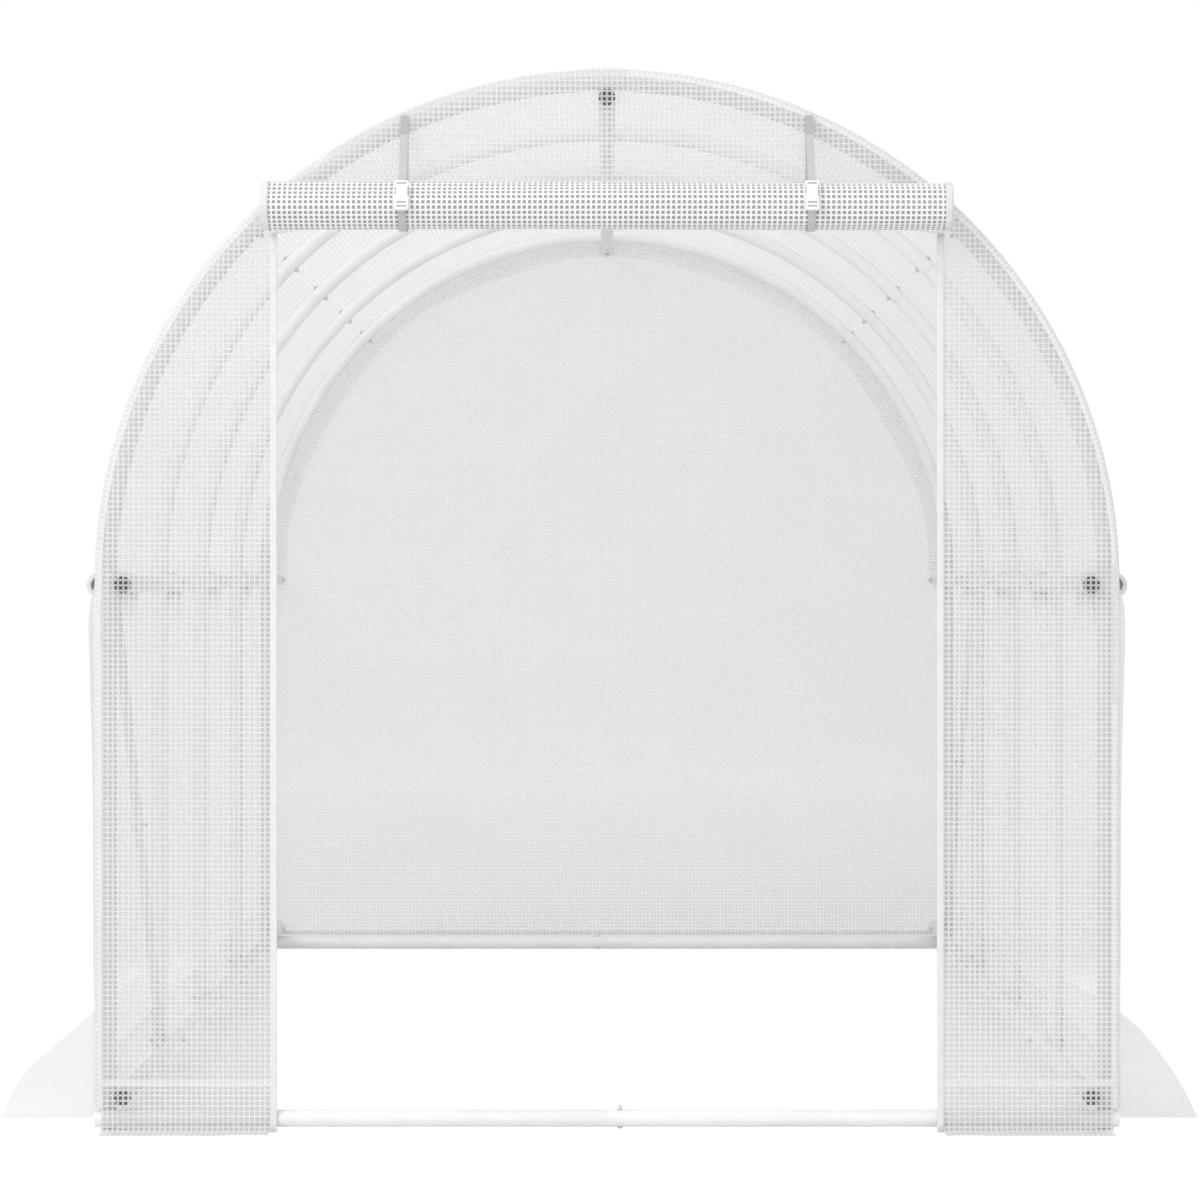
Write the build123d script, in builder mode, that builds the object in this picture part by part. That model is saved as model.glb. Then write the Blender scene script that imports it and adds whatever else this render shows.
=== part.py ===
from build123d import *
from math import cos, radians, sin, sqrt
import os

# Walk-in polytunnel greenhouse: five steel tube hoops under a mesh-reinforced film cover.
# Millimetres. +Z is up, -Y is the front with the roll-up door, and the left side is -X.
# The origin lies on the ground at the middle of the footprint.

# Tube frame
tunnel_length = 3000.0  # first hoop to last hoop
hoop_count = 5
arch_radius = 975.0  # middle of the tube
spring_height = 1068.0  # where the straight legs turn into the arch
joint_angle = 45.0  # the arch is jointed this far above the spring line
tube_diameter = 33.0  # across the flats that stand for the round
tube_wall = 1.2
tube_sides = 12
side_purlin_drop = 6.0  # below the spring line
base_rail_height = 65.0
purlin_overhang = 35.0  # past the middle of the end hoops
sill_clearance = 8.0  # leaves room under the sill for its bolt head
sill_overhang = 18.0  # past the outside of the legs
brace_diameter = 20.0
brace_end_gap = 4.0  # brace end to the leg beside it

# Film cover
film = 1.5
seat = 0.3  # running gap between the film or a tube and what carries it
panel_bottom = 44.0
wall_bottom = 44.0
seam_overlap = 86.0  # side skirt over the wall
hem_overlap = 57.0  # front skirt over the front panel
rear_hem_overlap = 11.0
skirt_bend = 20.0
end_skirt_bend = 8.0
skirt_reach = 282.0  # wall to the outer edge on the ground
skirt_setback = 115.0  # end hoop to the end of the side skirt
skirt_taper_depth = 80.0
skirt_taper_run = 685.0
front_flap_reach = 48.0
corner_slit = 10.0  # end skirt ends this far inside the wall

# Door
door_width = 1280.0
door_side_rise = 674.0  # top of the door's sides above the spring line
door_rise = 55.0
zip_tape_width = 14.0
zip_tape = 1.5
roll_radius = 47.0
roll_overhang = 22.0  # past each side of the doorway
roll_lift = 1.0  # underside of the roll over the top of the zip
strap_width = 15.0
strap = 1.5
strap_spacing = 784.0
strap_drop = 10.0  # top of the strap below the seam of the roof
strap_top_bend = 2.0

# Side-release buckles on the straps
buckle_turn = 17.0  # leans back this far round the roll
buckle_width = 26.0  # strap end of the socket
buckle_length = 60.0  # socket and plug together
buckle_thickness = 9.0
buckle_wall = 1.8
buckle_corner = 2.5
buckle_slot = 3.0
buckle_slot_width = 18.5
buckle_slot_pitch = 8.0
buckle_rim = 5.5  # below the lower slot
buckle_window_length = 12.0  # side windows that the thumb pads stand out of
buckle_prong_width = 3.4
socket_length = 42.0
socket_mouth_width = 22.0
pocket_depth = 23.0
plug_thickness = 7.0
plug_bar_width = 28.0
plug_bar_length = 11.0
plug_root_length = 6.0  # from the mouth of the socket to where the prongs part
plug_pad_width = 28.5  # over both thumb pads
plug_guide_width = 4.5

# Side windows, one in each bay
window_width = 310.0
window_height = 330.0
window_drop = 46.0  # top of the window below the spring line
screen = 1.0
screen_seam = 15.0
window_roll_radius = 26.0
window_roll_drop = 8.0  # below the spring line
window_roll_margin = 40.0

# Worked out from the sizes above
tube_radius = tube_diameter / 2
bay = tunnel_length / (hoop_count - 1)
bay_count = hoop_count - 1
half_tunnel = tunnel_length / 2
purlin_x = arch_radius - tube_diameter - seat
ridge_height = spring_height + purlin_x
side_purlin_height = spring_height - side_purlin_drop
sill_height = sill_clearance + tube_radius
sill_y = half_tunnel + tube_diameter + seat
sill_half_length = arch_radius + tube_radius + sill_overhang
cover_inner = arch_radius + tube_radius + seat
cover_outer = cover_inner + film
panel_inner = sill_y + tube_radius + seat
panel_face = panel_inner + film
hem_face = panel_face + film
door_side_height = spring_height + door_side_rise
roll_height = door_side_height + roll_lift + roll_radius
roll_length = door_width + 2 * roll_overhang
strap_loop_inner = roll_radius + seat
strap_back = panel_face + seat
strap_top_y = strap_back + strap + strap_top_bend
strap_top_height = spring_height + sqrt(cover_inner**2 - (strap_spacing / 2) ** 2) - strap_drop
roll_y = strap_back + strap + seat + roll_radius
buckle_stand = strap_loop_inner + strap + seat
buckle_face = buckle_stand + buckle_thickness
buckle_lean = radians(buckle_turn)
front_reach = roll_y + buckle_face * cos(buckle_lean) + buckle_length / 2 * sin(buckle_lean)
rear_flap_reach = front_reach - hem_face
window_bottom = spring_height - window_drop - window_height
window_roll_height = spring_height - window_roll_drop
brace_radius = brace_diameter / 2
brace_x = purlin_x + tube_radius + seat + brace_radius

flat_turn = 180 / tube_sides  # turns a section so that its flats face its neighbours

os.makedirs("parts", exist_ok=True)


# Hoops: a crown and two legs each, butted at the slip joints
for number in range(hoop_count):
    hoop_y = number * bay - half_tunnel
    hoop_plane = Plane.XZ.offset(-hoop_y)

    with BuildPart() as crown:
        with BuildLine(hoop_plane) as crown_path:
            CenterArc((0, spring_height), arch_radius, joint_angle, 180 - 2 * joint_angle)
        with BuildSketch(crown_path.line ^ 0):
            RegularPolygon(tube_radius, tube_sides, major_radius=False, rotation=flat_turn)
        sweep()
    crown.part.label = f"hoop_{number + 1}_crown"
    export_step(crown.part, f"parts/hoop_{number + 1}_crown.step")

    with BuildPart() as legs:
        with BuildLine(hoop_plane) as leg_path:
            Line((arch_radius, 0), (arch_radius, spring_height))
            CenterArc((0, spring_height), arch_radius, 0, joint_angle)
        with BuildSketch(leg_path.line ^ 0):
            RegularPolygon(tube_radius, tube_sides, major_radius=False, rotation=flat_turn)
        sweep()
        mirror(about=Plane.YZ)
    legs.part.label = f"hoop_{number + 1}_legs"
    export_step(legs.part, f"parts/hoop_{number + 1}_legs.step")


def tube_section():
    """Section of an open tube, drawn where the sketch's location stands."""
    RegularPolygon(tube_radius, tube_sides, major_radius=False, rotation=flat_turn)
    inside = tube_radius - tube_wall
    RegularPolygon(inside, tube_sides, major_radius=False, rotation=flat_turn, mode=Mode.SUBTRACT)


# Long tubes inside the hoops, open at both ends
def long_tube(x, z):
    with BuildPart() as tube:
        with BuildSketch(Plane.XZ):
            with Locations((x, z)):
                tube_section()
        extrude(amount=half_tunnel + purlin_overhang, both=True)
    return tube


ridge_purlin = long_tube(0, ridge_height)
ridge_purlin.part.label = "ridge_purlin"
export_step(ridge_purlin.part, "parts/ridge_purlin.step")

for side, sign in (("left", -1), ("right", 1)):
    side_purlin = long_tube(sign * purlin_x, side_purlin_height)
    side_purlin.part.label = f"{side}_side_purlin"
    export_step(side_purlin.part, f"parts/{side}_side_purlin.step")

    base_rail = long_tube(sign * purlin_x, base_rail_height)
    base_rail.part.label = f"{side}_base_rail"
    export_step(base_rail.part, f"parts/{side}_base_rail.step")


# Sills across both ends, each of two tubes that meet in the middle
for end, end_sign in (("front", -1), ("rear", 1)):
    for side, sign in (("left", -1), ("right", 1)):
        with BuildPart() as sill:
            with BuildSketch(Plane.YZ):
                with Locations((end_sign * sill_y, sill_height)):
                    tube_section()
            extrude(amount=sign * sill_half_length)
        sill.part.label = f"{end}_sill_{side}"
        export_step(sill.part, f"parts/{end}_sill_{side}.step")


# Diagonal braces: the left one in the front bay and the right one in the rear bay
brace_end = tube_radius + brace_radius + brace_end_gap
for name, sign, high_y in (("left_front_brace", -1, -half_tunnel), ("right_rear_brace", 1, half_tunnel - bay)):
    with BuildPart() as brace:
        with BuildLine() as brace_path:
            Line(
                (sign * brace_x, high_y + brace_end, side_purlin_height),
                (sign * brace_x, high_y + bay - brace_end, base_rail_height),
            )
        with BuildSketch(brace_path.line ^ 0):
            RegularPolygon(brace_radius, tube_sides, major_radius=False, rotation=flat_turn)
        sweep()
    brace.part.label = name
    export_step(brace.part, f"parts/{name}.step")


# Film over the arch
with BuildPart() as roof_cover:
    with BuildSketch(Plane.XZ):
        with Locations((0, spring_height)):
            Circle(cover_outer)
            Circle(cover_inner, mode=Mode.SUBTRACT)
            Rectangle(2 * cover_outer, cover_outer, align=(Align.CENTER, Align.MAX), mode=Mode.SUBTRACT)
    extrude(amount=panel_face, both=True)
roof_cover.part.label = "roof_cover"
export_step(roof_cover.part, "parts/roof_cover.step")


# Film down the sides, with the windows cut, their screens and the covers rolled up above them
for side, sign in (("left", -1), ("right", 1)):
    wall_plane = Plane.YZ.offset(sign * cover_inner)

    with BuildPart() as wall:
        with BuildSketch(wall_plane):
            with Locations((0, wall_bottom)):
                Rectangle(2 * panel_face, spring_height - wall_bottom, align=(Align.CENTER, Align.MIN))
            with Locations((0, window_bottom + window_height / 2)):
                with GridLocations(bay, 0, bay_count, 1):
                    Rectangle(window_width, window_height, mode=Mode.SUBTRACT)
        extrude(amount=sign * film)
    wall.part.label = f"{side}_wall_cover"
    export_step(wall.part, f"parts/{side}_wall_cover.step")

    with BuildPart() as screens:
        with BuildSketch(wall_plane):
            with Locations((0, window_bottom + window_height / 2)):
                with GridLocations(bay, 0, bay_count, 1):
                    Rectangle(window_width + 2 * screen_seam, window_height + 2 * screen_seam)
        extrude(amount=-sign * screen)
    screens.part.label = f"{side}_window_screens"
    export_step(screens.part, f"parts/{side}_window_screens.step")

    with BuildPart() as window_rolls:
        for number in range(bay_count):
            roll_middle = (number + 0.5) * bay - half_tunnel
            with BuildSketch(Plane.XZ.offset(-roll_middle)):
                with Locations((sign * (cover_outer + seat + window_roll_radius), window_roll_height)):
                    RegularPolygon(window_roll_radius, tube_sides, major_radius=False, rotation=flat_turn)
            extrude(amount=window_width / 2 + window_roll_margin, both=True)
    window_rolls.part.label = f"{side}_window_rolls"
    export_step(window_rolls.part, f"parts/{side}_window_rolls.step")

    with BuildPart() as skirt:
        outer_edge = cover_outer + skirt_reach
        seam_top = wall_bottom + seam_overlap
        bend_centre = cover_outer + skirt_bend
        with BuildSketch(Plane.XZ):
            with BuildLine():
                Polyline((bend_centre, 0), (outer_edge, 0), (outer_edge, film), (bend_centre, film))
                CenterArc((bend_centre, skirt_bend), skirt_bend - film, -90, -90)
                Polyline(
                    (cover_outer + film, skirt_bend),
                    (cover_outer + film, seam_top),
                    (cover_outer, seam_top),
                    (cover_outer, skirt_bend),
                )
                CenterArc((bend_centre, skirt_bend), skirt_bend, 180, 90)
            make_face()
        extrude(amount=half_tunnel - skirt_setback, both=True)
        skirt_end = half_tunnel - skirt_setback
        with BuildSketch():
            with BuildLine():
                Line((cover_outer, 0), (cover_outer, -skirt_end))
                Line((cover_outer, -skirt_end), (outer_edge - skirt_taper_depth, -skirt_end))
                TangentArc(
                    (outer_edge, skirt_taper_run - skirt_end),
                    (outer_edge - skirt_taper_depth, -skirt_end),
                    tangent=(0, -1),
                )
                Line((outer_edge, skirt_taper_run - skirt_end), (outer_edge, 0))
                Line((outer_edge, 0), (cover_outer, 0))
            make_face()
            mirror(about=Plane.XZ)
        extrude(amount=seam_top, mode=Mode.INTERSECT)
    side_skirt = skirt.part if sign > 0 else skirt.part.mirror(Plane.YZ)
    side_skirt.label = f"{side}_skirt"
    export_step(side_skirt, f"parts/{side}_skirt.step")


# Front panels beside the doorway, and the gable above it
front_plane = Plane.XZ.offset(panel_inner)
door_half = door_width / 2


def arch_sheet():
    """The face of an end panel: as wide as the inside of the cover, with the arch on top."""
    with BuildSketch() as sheet:
        with Locations((0, spring_height)):
            Circle(cover_inner)
            Rectangle(2 * cover_inner, 2 * cover_inner, align=(Align.CENTER, Align.MAX), mode=Mode.SUBTRACT)
        with Locations((0, panel_bottom)):
            Rectangle(2 * cover_inner, spring_height - panel_bottom, align=(Align.CENTER, Align.MIN))
    return sheet.sketch


for side, sign in (("left", -1), ("right", 1)):
    with BuildPart() as front_panel:
        with BuildSketch(front_plane):
            add(arch_sheet())
            with Locations((-sign * (cover_inner - door_half), spring_height)):
                Rectangle(2 * cover_inner, 2 * (cover_inner + spring_height), mode=Mode.SUBTRACT)
        extrude(amount=film)
    front_panel.part.label = f"front_panel_{side}"
    export_step(front_panel.part, f"parts/front_panel_{side}.step")

    with BuildPart() as tape:
        with BuildSketch(Plane.XZ.offset(panel_face)):
            with Locations((sign * (door_half + zip_tape_width / 2), 0)):
                Rectangle(zip_tape_width, door_side_height, align=(Align.CENTER, Align.MIN))
        extrude(amount=zip_tape)
    tape.part.label = f"zip_tape_{side}"
    export_step(tape.part, f"parts/zip_tape_{side}.step")

with BuildPart() as gable:
    with BuildSketch(front_plane):
        with BuildLine():
            Line((-door_half, door_side_height), (-door_half, spring_height + cover_inner))
            Line((-door_half, spring_height + cover_inner), (door_half, spring_height + cover_inner))
            Line((door_half, spring_height + cover_inner), (door_half, door_side_height))
            ThreePointArc(
                (door_half, door_side_height),
                (0, door_side_height + door_rise),
                (-door_half, door_side_height),
            )
        make_face()
        with Locations((0, spring_height)):
            Circle(cover_inner, mode=Mode.INTERSECT)
    extrude(amount=film)
gable.part.label = "front_gable"
export_step(gable.part, "parts/front_gable.step")

with BuildPart() as rear_panel:
    with BuildSketch(Plane.XZ.offset(-panel_face)):
        add(arch_sheet())
    extrude(amount=film)
rear_panel.part.label = "rear_panel"
export_step(rear_panel.part, "parts/rear_panel.step")


# Skirts on the end panels: over the hem, down to the ground and out along it
def end_skirt(inner_x, outer_x, overlap, flap_reach):
    hem_top = panel_bottom + overlap
    bend_centre = panel_face + end_skirt_bend
    flap_edge = hem_face + flap_reach
    with BuildPart() as skirt:
        with BuildSketch(Plane.YZ.offset(inner_x)):
            with BuildLine():
                Polyline((-bend_centre, 0), (-flap_edge, 0), (-flap_edge, film), (-bend_centre, film))
                CenterArc((-bend_centre, end_skirt_bend), end_skirt_bend - film, -90, 90)
                Polyline(
                    (-hem_face, end_skirt_bend),
                    (-hem_face, hem_top),
                    (-panel_face, hem_top),
                    (-panel_face, end_skirt_bend),
                )
                CenterArc((-bend_centre, end_skirt_bend), end_skirt_bend, 0, -90)
            make_face()
        extrude(amount=outer_x - inner_x)
    return skirt


skirt_outer_x = cover_inner - corner_slit
skirt_inner_x = door_half + zip_tape_width
front_skirt_left = end_skirt(-skirt_outer_x, -skirt_inner_x, hem_overlap, front_flap_reach)
front_skirt_left.part.label = "front_skirt_left"
export_step(front_skirt_left.part, "parts/front_skirt_left.step")

front_skirt_right = end_skirt(skirt_inner_x, skirt_outer_x, hem_overlap, front_flap_reach)
front_skirt_right.part.label = "front_skirt_right"
export_step(front_skirt_right.part, "parts/front_skirt_right.step")

rear_skirt = end_skirt(-skirt_outer_x, skirt_outer_x, rear_hem_overlap, rear_flap_reach).part.mirror(Plane.XZ)
rear_skirt.label = "rear_skirt"
export_step(rear_skirt, "parts/rear_skirt.step")


# Door rolled up under the gable, its two strap loops and their buckles
with BuildPart() as door_roll:
    with BuildSketch(Plane.YZ):
        with Locations((-roll_y, roll_height)):
            Circle(roll_radius)
    extrude(amount=roll_length / 2, both=True)
door_roll.part.label = "door_roll"
export_step(door_roll.part, "parts/door_roll.step")

with BuildSketch() as strap_hollow:
    with Locations((-roll_y, roll_height)):
        Circle(strap_loop_inner)
    with Locations((-strap_top_y, strap_top_height)):
        Circle(strap_top_bend)
    make_hull()

with BuildPart() as door_straps:
    for place in (-strap_spacing / 2, strap_spacing / 2):
        with BuildSketch(Plane.YZ.offset(place)):
            add(strap_hollow.sketch)
            offset(amount=strap)
            add(strap_hollow.sketch, mode=Mode.SUBTRACT)
        extrude(amount=strap_width / 2, both=True)
door_straps.part.label = "door_straps"
export_step(door_straps.part, "parts/door_straps.step")


# Buckles: a socket with a pocket and side windows, and a plug whose prongs catch in the windows
def buckle_back(place):
    """The plane of a buckle's back, tangent to the strap, with Y up along the buckle and Z out of its face."""
    return Plane(
        origin=(
            place,
            -(roll_y + buckle_stand * cos(buckle_lean)),
            roll_height + buckle_stand * sin(buckle_lean),
        ),
        x_dir=(1, 0, 0),
        z_dir=(0, -cos(buckle_lean), sin(buckle_lean)),
    )


buckle_end = buckle_length / 2
socket_mouth = socket_length - buckle_end
pocket_floor = socket_mouth - pocket_depth
window_top = pocket_floor + buckle_window_length
lower_slot = buckle_rim + buckle_slot / 2 - buckle_end
pocket_width = socket_mouth_width - 2 * buckle_wall

with BuildPart() as door_buckles:
    for place in (-strap_spacing / 2, strap_spacing / 2):
        with BuildSketch(buckle_back(place)) as socket_outline:
            with BuildLine():
                Polyline(
                    (-buckle_width / 2, -buckle_end),
                    (buckle_width / 2, -buckle_end),
                    (buckle_width / 2, pocket_floor),
                    (socket_mouth_width / 2, window_top),
                    (socket_mouth_width / 2, socket_mouth),
                    (-socket_mouth_width / 2, socket_mouth),
                    (-socket_mouth_width / 2, window_top),
                    (-buckle_width / 2, pocket_floor),
                    close=True,
                )
            make_face()
            chamfer(socket_outline.vertices().group_by(Axis.Y)[0], buckle_corner)
            with Locations((0, lower_slot + buckle_slot_pitch / 2)):
                with GridLocations(0, buckle_slot_pitch, 1, 2):
                    Rectangle(buckle_slot_width, buckle_slot, mode=Mode.SUBTRACT)
        extrude(amount=buckle_thickness)
        with BuildSketch(buckle_back(place).offset(buckle_wall)):
            with Locations((0, pocket_floor)):
                Rectangle(pocket_width, pocket_depth, align=(Align.CENTER, Align.MIN))
                Rectangle(buckle_width, buckle_window_length, align=(Align.CENTER, Align.MIN))
        extrude(amount=buckle_thickness - 2 * buckle_wall, mode=Mode.SUBTRACT)
door_buckles.part.label = "door_buckles"
export_step(door_buckles.part, "parts/door_buckles.step")

prong_outside = pocket_width / 2 - seat
prong_inside = prong_outside - buckle_prong_width
prong_root = socket_mouth - plug_root_length
prong_tip = pocket_floor + seat
pad_face = plug_pad_width / 2

with BuildPart() as door_buckle_plugs:
    for place in (-strap_spacing / 2, strap_spacing / 2):
        with BuildSketch(buckle_back(place).offset(buckle_wall + seat)):
            with BuildLine():
                Polyline(
                    (prong_inside, prong_root),
                    (prong_outside, prong_root),
                    (prong_outside, window_top - seat),
                    (socket_mouth_width / 2, window_top - seat),
                    (pad_face, pocket_floor + buckle_window_length * 0.4),
                    (pad_face, pocket_floor + buckle_window_length * 0.2),
                    (prong_outside, prong_tip),
                    (prong_inside, window_top - seat),
                    close=True,
                )
            make_face()
            mirror(about=Plane.YZ)
            with Locations((0, prong_root)):
                Rectangle(2 * prong_outside, plug_root_length + seat, align=(Align.CENTER, Align.MIN))
                Rectangle(plug_guide_width, prong_root - prong_tip, align=(Align.CENTER, Align.MAX))
        extrude(amount=buckle_thickness - 2 * (buckle_wall + seat))
        with BuildSketch(buckle_back(place).offset((buckle_thickness - plug_thickness) / 2)):
            with Locations((0, buckle_end - plug_bar_length / 2)):
                bar = Rectangle(plug_bar_width, plug_bar_length)
                chamfer(bar.vertices(), buckle_corner)
                Rectangle(buckle_slot_width, buckle_slot, mode=Mode.SUBTRACT)
            with Locations((0, socket_mouth + seat)):
                neck_length = buckle_end - plug_bar_length - socket_mouth - seat
                Rectangle(socket_mouth_width, neck_length, align=(Align.CENTER, Align.MIN))
        extrude(amount=plug_thickness)
door_buckle_plugs.part.label = "door_buckle_plugs"
export_step(door_buckle_plugs.part, "parts/door_buckle_plugs.step")
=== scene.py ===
"""Finished look of the polytunnel greenhouse over its solid model: tubes, film, door roll and straps."""

from math import acos, atan2, cos, exp, hypot, pi, radians, sin, sqrt

import bpy
import numpy as np
from bpy.props import FloatProperty, FloatVectorProperty, PointerProperty
from bpy.types import Operator, Panel, PropertyGroup
from mathutils import Matrix, Vector, noise


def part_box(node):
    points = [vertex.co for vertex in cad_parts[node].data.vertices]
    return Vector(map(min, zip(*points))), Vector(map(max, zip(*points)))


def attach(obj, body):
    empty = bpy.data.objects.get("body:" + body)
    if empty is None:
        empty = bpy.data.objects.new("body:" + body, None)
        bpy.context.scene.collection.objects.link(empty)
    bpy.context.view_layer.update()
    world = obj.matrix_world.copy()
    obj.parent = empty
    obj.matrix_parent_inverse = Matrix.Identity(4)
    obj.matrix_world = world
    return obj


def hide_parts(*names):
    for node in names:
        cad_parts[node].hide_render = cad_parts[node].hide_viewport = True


bl_info = {
    "name": "Polytunnel greenhouse",
    "version": (1, 0, 0),
    "blender": (4, 5, 0),
    "location": "3D View > Sidebar > Greenhouse",
    "description": "Tubes, bolts, woven film, door roll, straps and buckles of a walk-in tunnel greenhouse",
    "category": "Object",
}

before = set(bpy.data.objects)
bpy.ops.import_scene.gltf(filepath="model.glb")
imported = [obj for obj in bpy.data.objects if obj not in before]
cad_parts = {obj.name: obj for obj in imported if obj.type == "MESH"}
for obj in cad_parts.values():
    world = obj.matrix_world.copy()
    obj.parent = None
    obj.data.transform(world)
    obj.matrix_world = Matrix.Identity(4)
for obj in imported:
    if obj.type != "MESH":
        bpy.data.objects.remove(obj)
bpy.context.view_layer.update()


# Places and sizes read from the solid model, in metres
def low(node):
    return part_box(node)[0]


def high(node):
    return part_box(node)[1]


def middle(node):
    return (low(node) + high(node)) / 2


SIDES = (("left", -1), ("right", 1))
HOOPS = range(1, 6)
HOOP_YS = [middle(f"hoop_{number}_crown").y for number in HOOPS]
BAY = HOOP_YS[1] - HOOP_YS[0]
BAY_MIDDLES = [y + BAY / 2 for y in HOOP_YS[:-1]]
SPRING = low("roof_cover").z
TUBE_RADIUS = (high("ridge_purlin").x - low("ridge_purlin").x) / 2
BRACE_RADIUS = (high("left_front_brace").x - low("left_front_brace").x) / 2
LEG_FACE = high("hoop_1_legs").x
ARCH_RADIUS = LEG_FACE - TUBE_RADIUS
COVER_FACE = high("roof_cover").x
PANEL_FACE = -low("front_gable").y
WALL_BOTTOM = low("left_wall_cover").z
PANEL_BOTTOM = low("front_panel_left").z
DOOR_HALF = -high("front_panel_left").x
DOOR_TOP = high("zip_tape_left").z
ROLL_MIDDLE = middle("door_roll")
ROLL_RADIUS = (high("door_roll").z - low("door_roll").z) / 2

# Places, shares and angles chosen for the visible pieces
FILM_FACE = COVER_FACE - 0.0006
PANEL_REACH = COVER_FACE - 0.0015
SKIRT_EDGE = high("right_skirt").x - 0.009
SILL_REACH = LEG_FACE + 0.0035
HEM_BOTTOM = 0.046
WINDOW_CORE = 0.68
SLIP_ANGLE = 45
BUCKLE_LEAN = radians(17)


# Settings that a user would change
class FrameSettings(PropertyGroup):
    wall: FloatProperty(
        name="Tube wall", description="Thickness of the steel tube", default=0.0012, unit="LENGTH"
    )
    swage: FloatProperty(
        name="Joint overlap",
        description="How far a hoop's crown slips over its leg",
        default=0.015,
        unit="LENGTH",
    )
    bolt: FloatProperty(
        name="Bolt head", description="Radius of the domed bolt heads", default=0.0057, unit="LENGTH"
    )
    coat: FloatVectorProperty(
        name="Coat", description="Colour of the coated tubes", default=(0.91, 0.913, 0.915), subtype="COLOR"
    )
    steel: FloatVectorProperty(
        name="Bolts", description="Colour of the zinc bolts", default=(0.78, 0.785, 0.79), subtype="COLOR"
    )


class FilmSettings(PropertyGroup):
    pitch: FloatProperty(
        name="Thread pitch",
        description="Distance from one thread to the next",
        default=0.0102,
        unit="LENGTH",
    )
    thread: FloatProperty(
        name="Thread width", description="Width of the woven threads", default=0.0037, unit="LENGTH"
    )
    sag: FloatProperty(
        name="Sag", description="How far the film sinks between two hoops", default=0.006, unit="LENGTH"
    )
    thread_tone: FloatVectorProperty(
        name="Threads", description="Colour of the threads", default=(0.94, 0.945, 0.945), subtype="COLOR"
    )
    cell_tone: FloatVectorProperty(
        name="Clear film",
        description="Colour of the film between the threads",
        default=(0.55, 0.555, 0.555),
        subtype="COLOR",
    )
    thread_cover: FloatProperty(
        name="Thread cover", description="How much a thread hides", default=0.82, subtype="FACTOR"
    )
    cell_cover: FloatProperty(
        name="Film cover", description="How much the clear film hides", default=0.14, subtype="FACTOR"
    )


class TrimSettings(PropertyGroup):
    tape: FloatVectorProperty(
        name="Zip tape",
        description="Colour of the zip tapes and bindings",
        default=(0.93, 0.934, 0.934),
        subtype="COLOR",
    )
    strap: FloatVectorProperty(
        name="Straps",
        description="Colour of the webbing straps",
        default=(0.60, 0.63, 0.62),
        subtype="COLOR",
    )
    buckle: FloatVectorProperty(
        name="Buckles",
        description="Colour of the moulded buckles",
        default=(0.90, 0.90, 0.90),
        subtype="COLOR",
    )
    net: FloatVectorProperty(
        name="Screens",
        description="Colour of the window screens",
        default=(0.80, 0.80, 0.80),
        subtype="COLOR",
    )


# Making meshes
def clear_selection():
    if bpy.context.object and bpy.context.object.mode != "OBJECT":
        bpy.ops.object.mode_set(mode="OBJECT")
    bpy.ops.object.select_all(action="DESELECT")


def pick(thing):
    clear_selection()
    thing.select_set(True)
    bpy.context.view_layer.objects.active = thing


def shape_with(thing, kind, **settings):
    """Adds a modifier with these settings and applies it."""
    pick(thing)
    modifier = thing.modifiers.new(kind.title(), kind)
    for name, value in settings.items():
        setattr(modifier, name, value)
    bpy.ops.object.modifier_apply(modifier=modifier.name)


def settle():
    """Puts the active object's place and turn into its mesh and hands it back."""
    bpy.ops.object.transform_apply(location=True, rotation=True, scale=True)
    return bpy.context.active_object


def join(things):
    clear_selection()
    for thing in things:
        thing.select_set(True)
    bpy.context.view_layer.objects.active = things[0]
    bpy.ops.object.join()
    return settle()


def smooth(thing, angle=40):
    pick(thing)
    bpy.ops.object.shade_smooth_by_angle(angle=radians(angle))


def finish_piece(thing, name, material, slot, *nodes):
    """Names a finished piece, dresses it and has it stand for its solids."""
    thing.name = name
    thing.data.name = name
    thing.data.materials.clear()
    thing.data.materials.append(material)
    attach(thing, "root")
    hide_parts(*nodes)
    return thing


def open_tube(start, end, radius, wall, sides=32):
    """A straight tube with open ends and a slightly eased rim."""
    along = Vector(end) - Vector(start)
    clear_selection()
    bpy.ops.mesh.primitive_cylinder_add(
        vertices=sides,
        radius=radius,
        depth=along.length,
        end_fill_type="NOTHING",
        location=(Vector(start) + Vector(end)) / 2,
        rotation=along.to_track_quat("Z", "Y").to_euler(),
    )
    tube = settle()
    shape_with(tube, "SOLIDIFY", thickness=wall, offset=-1)
    shape_with(tube, "BEVEL", width=wall * 0.3, segments=2, angle_limit=radians(60))
    smooth(tube)
    return tube


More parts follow.
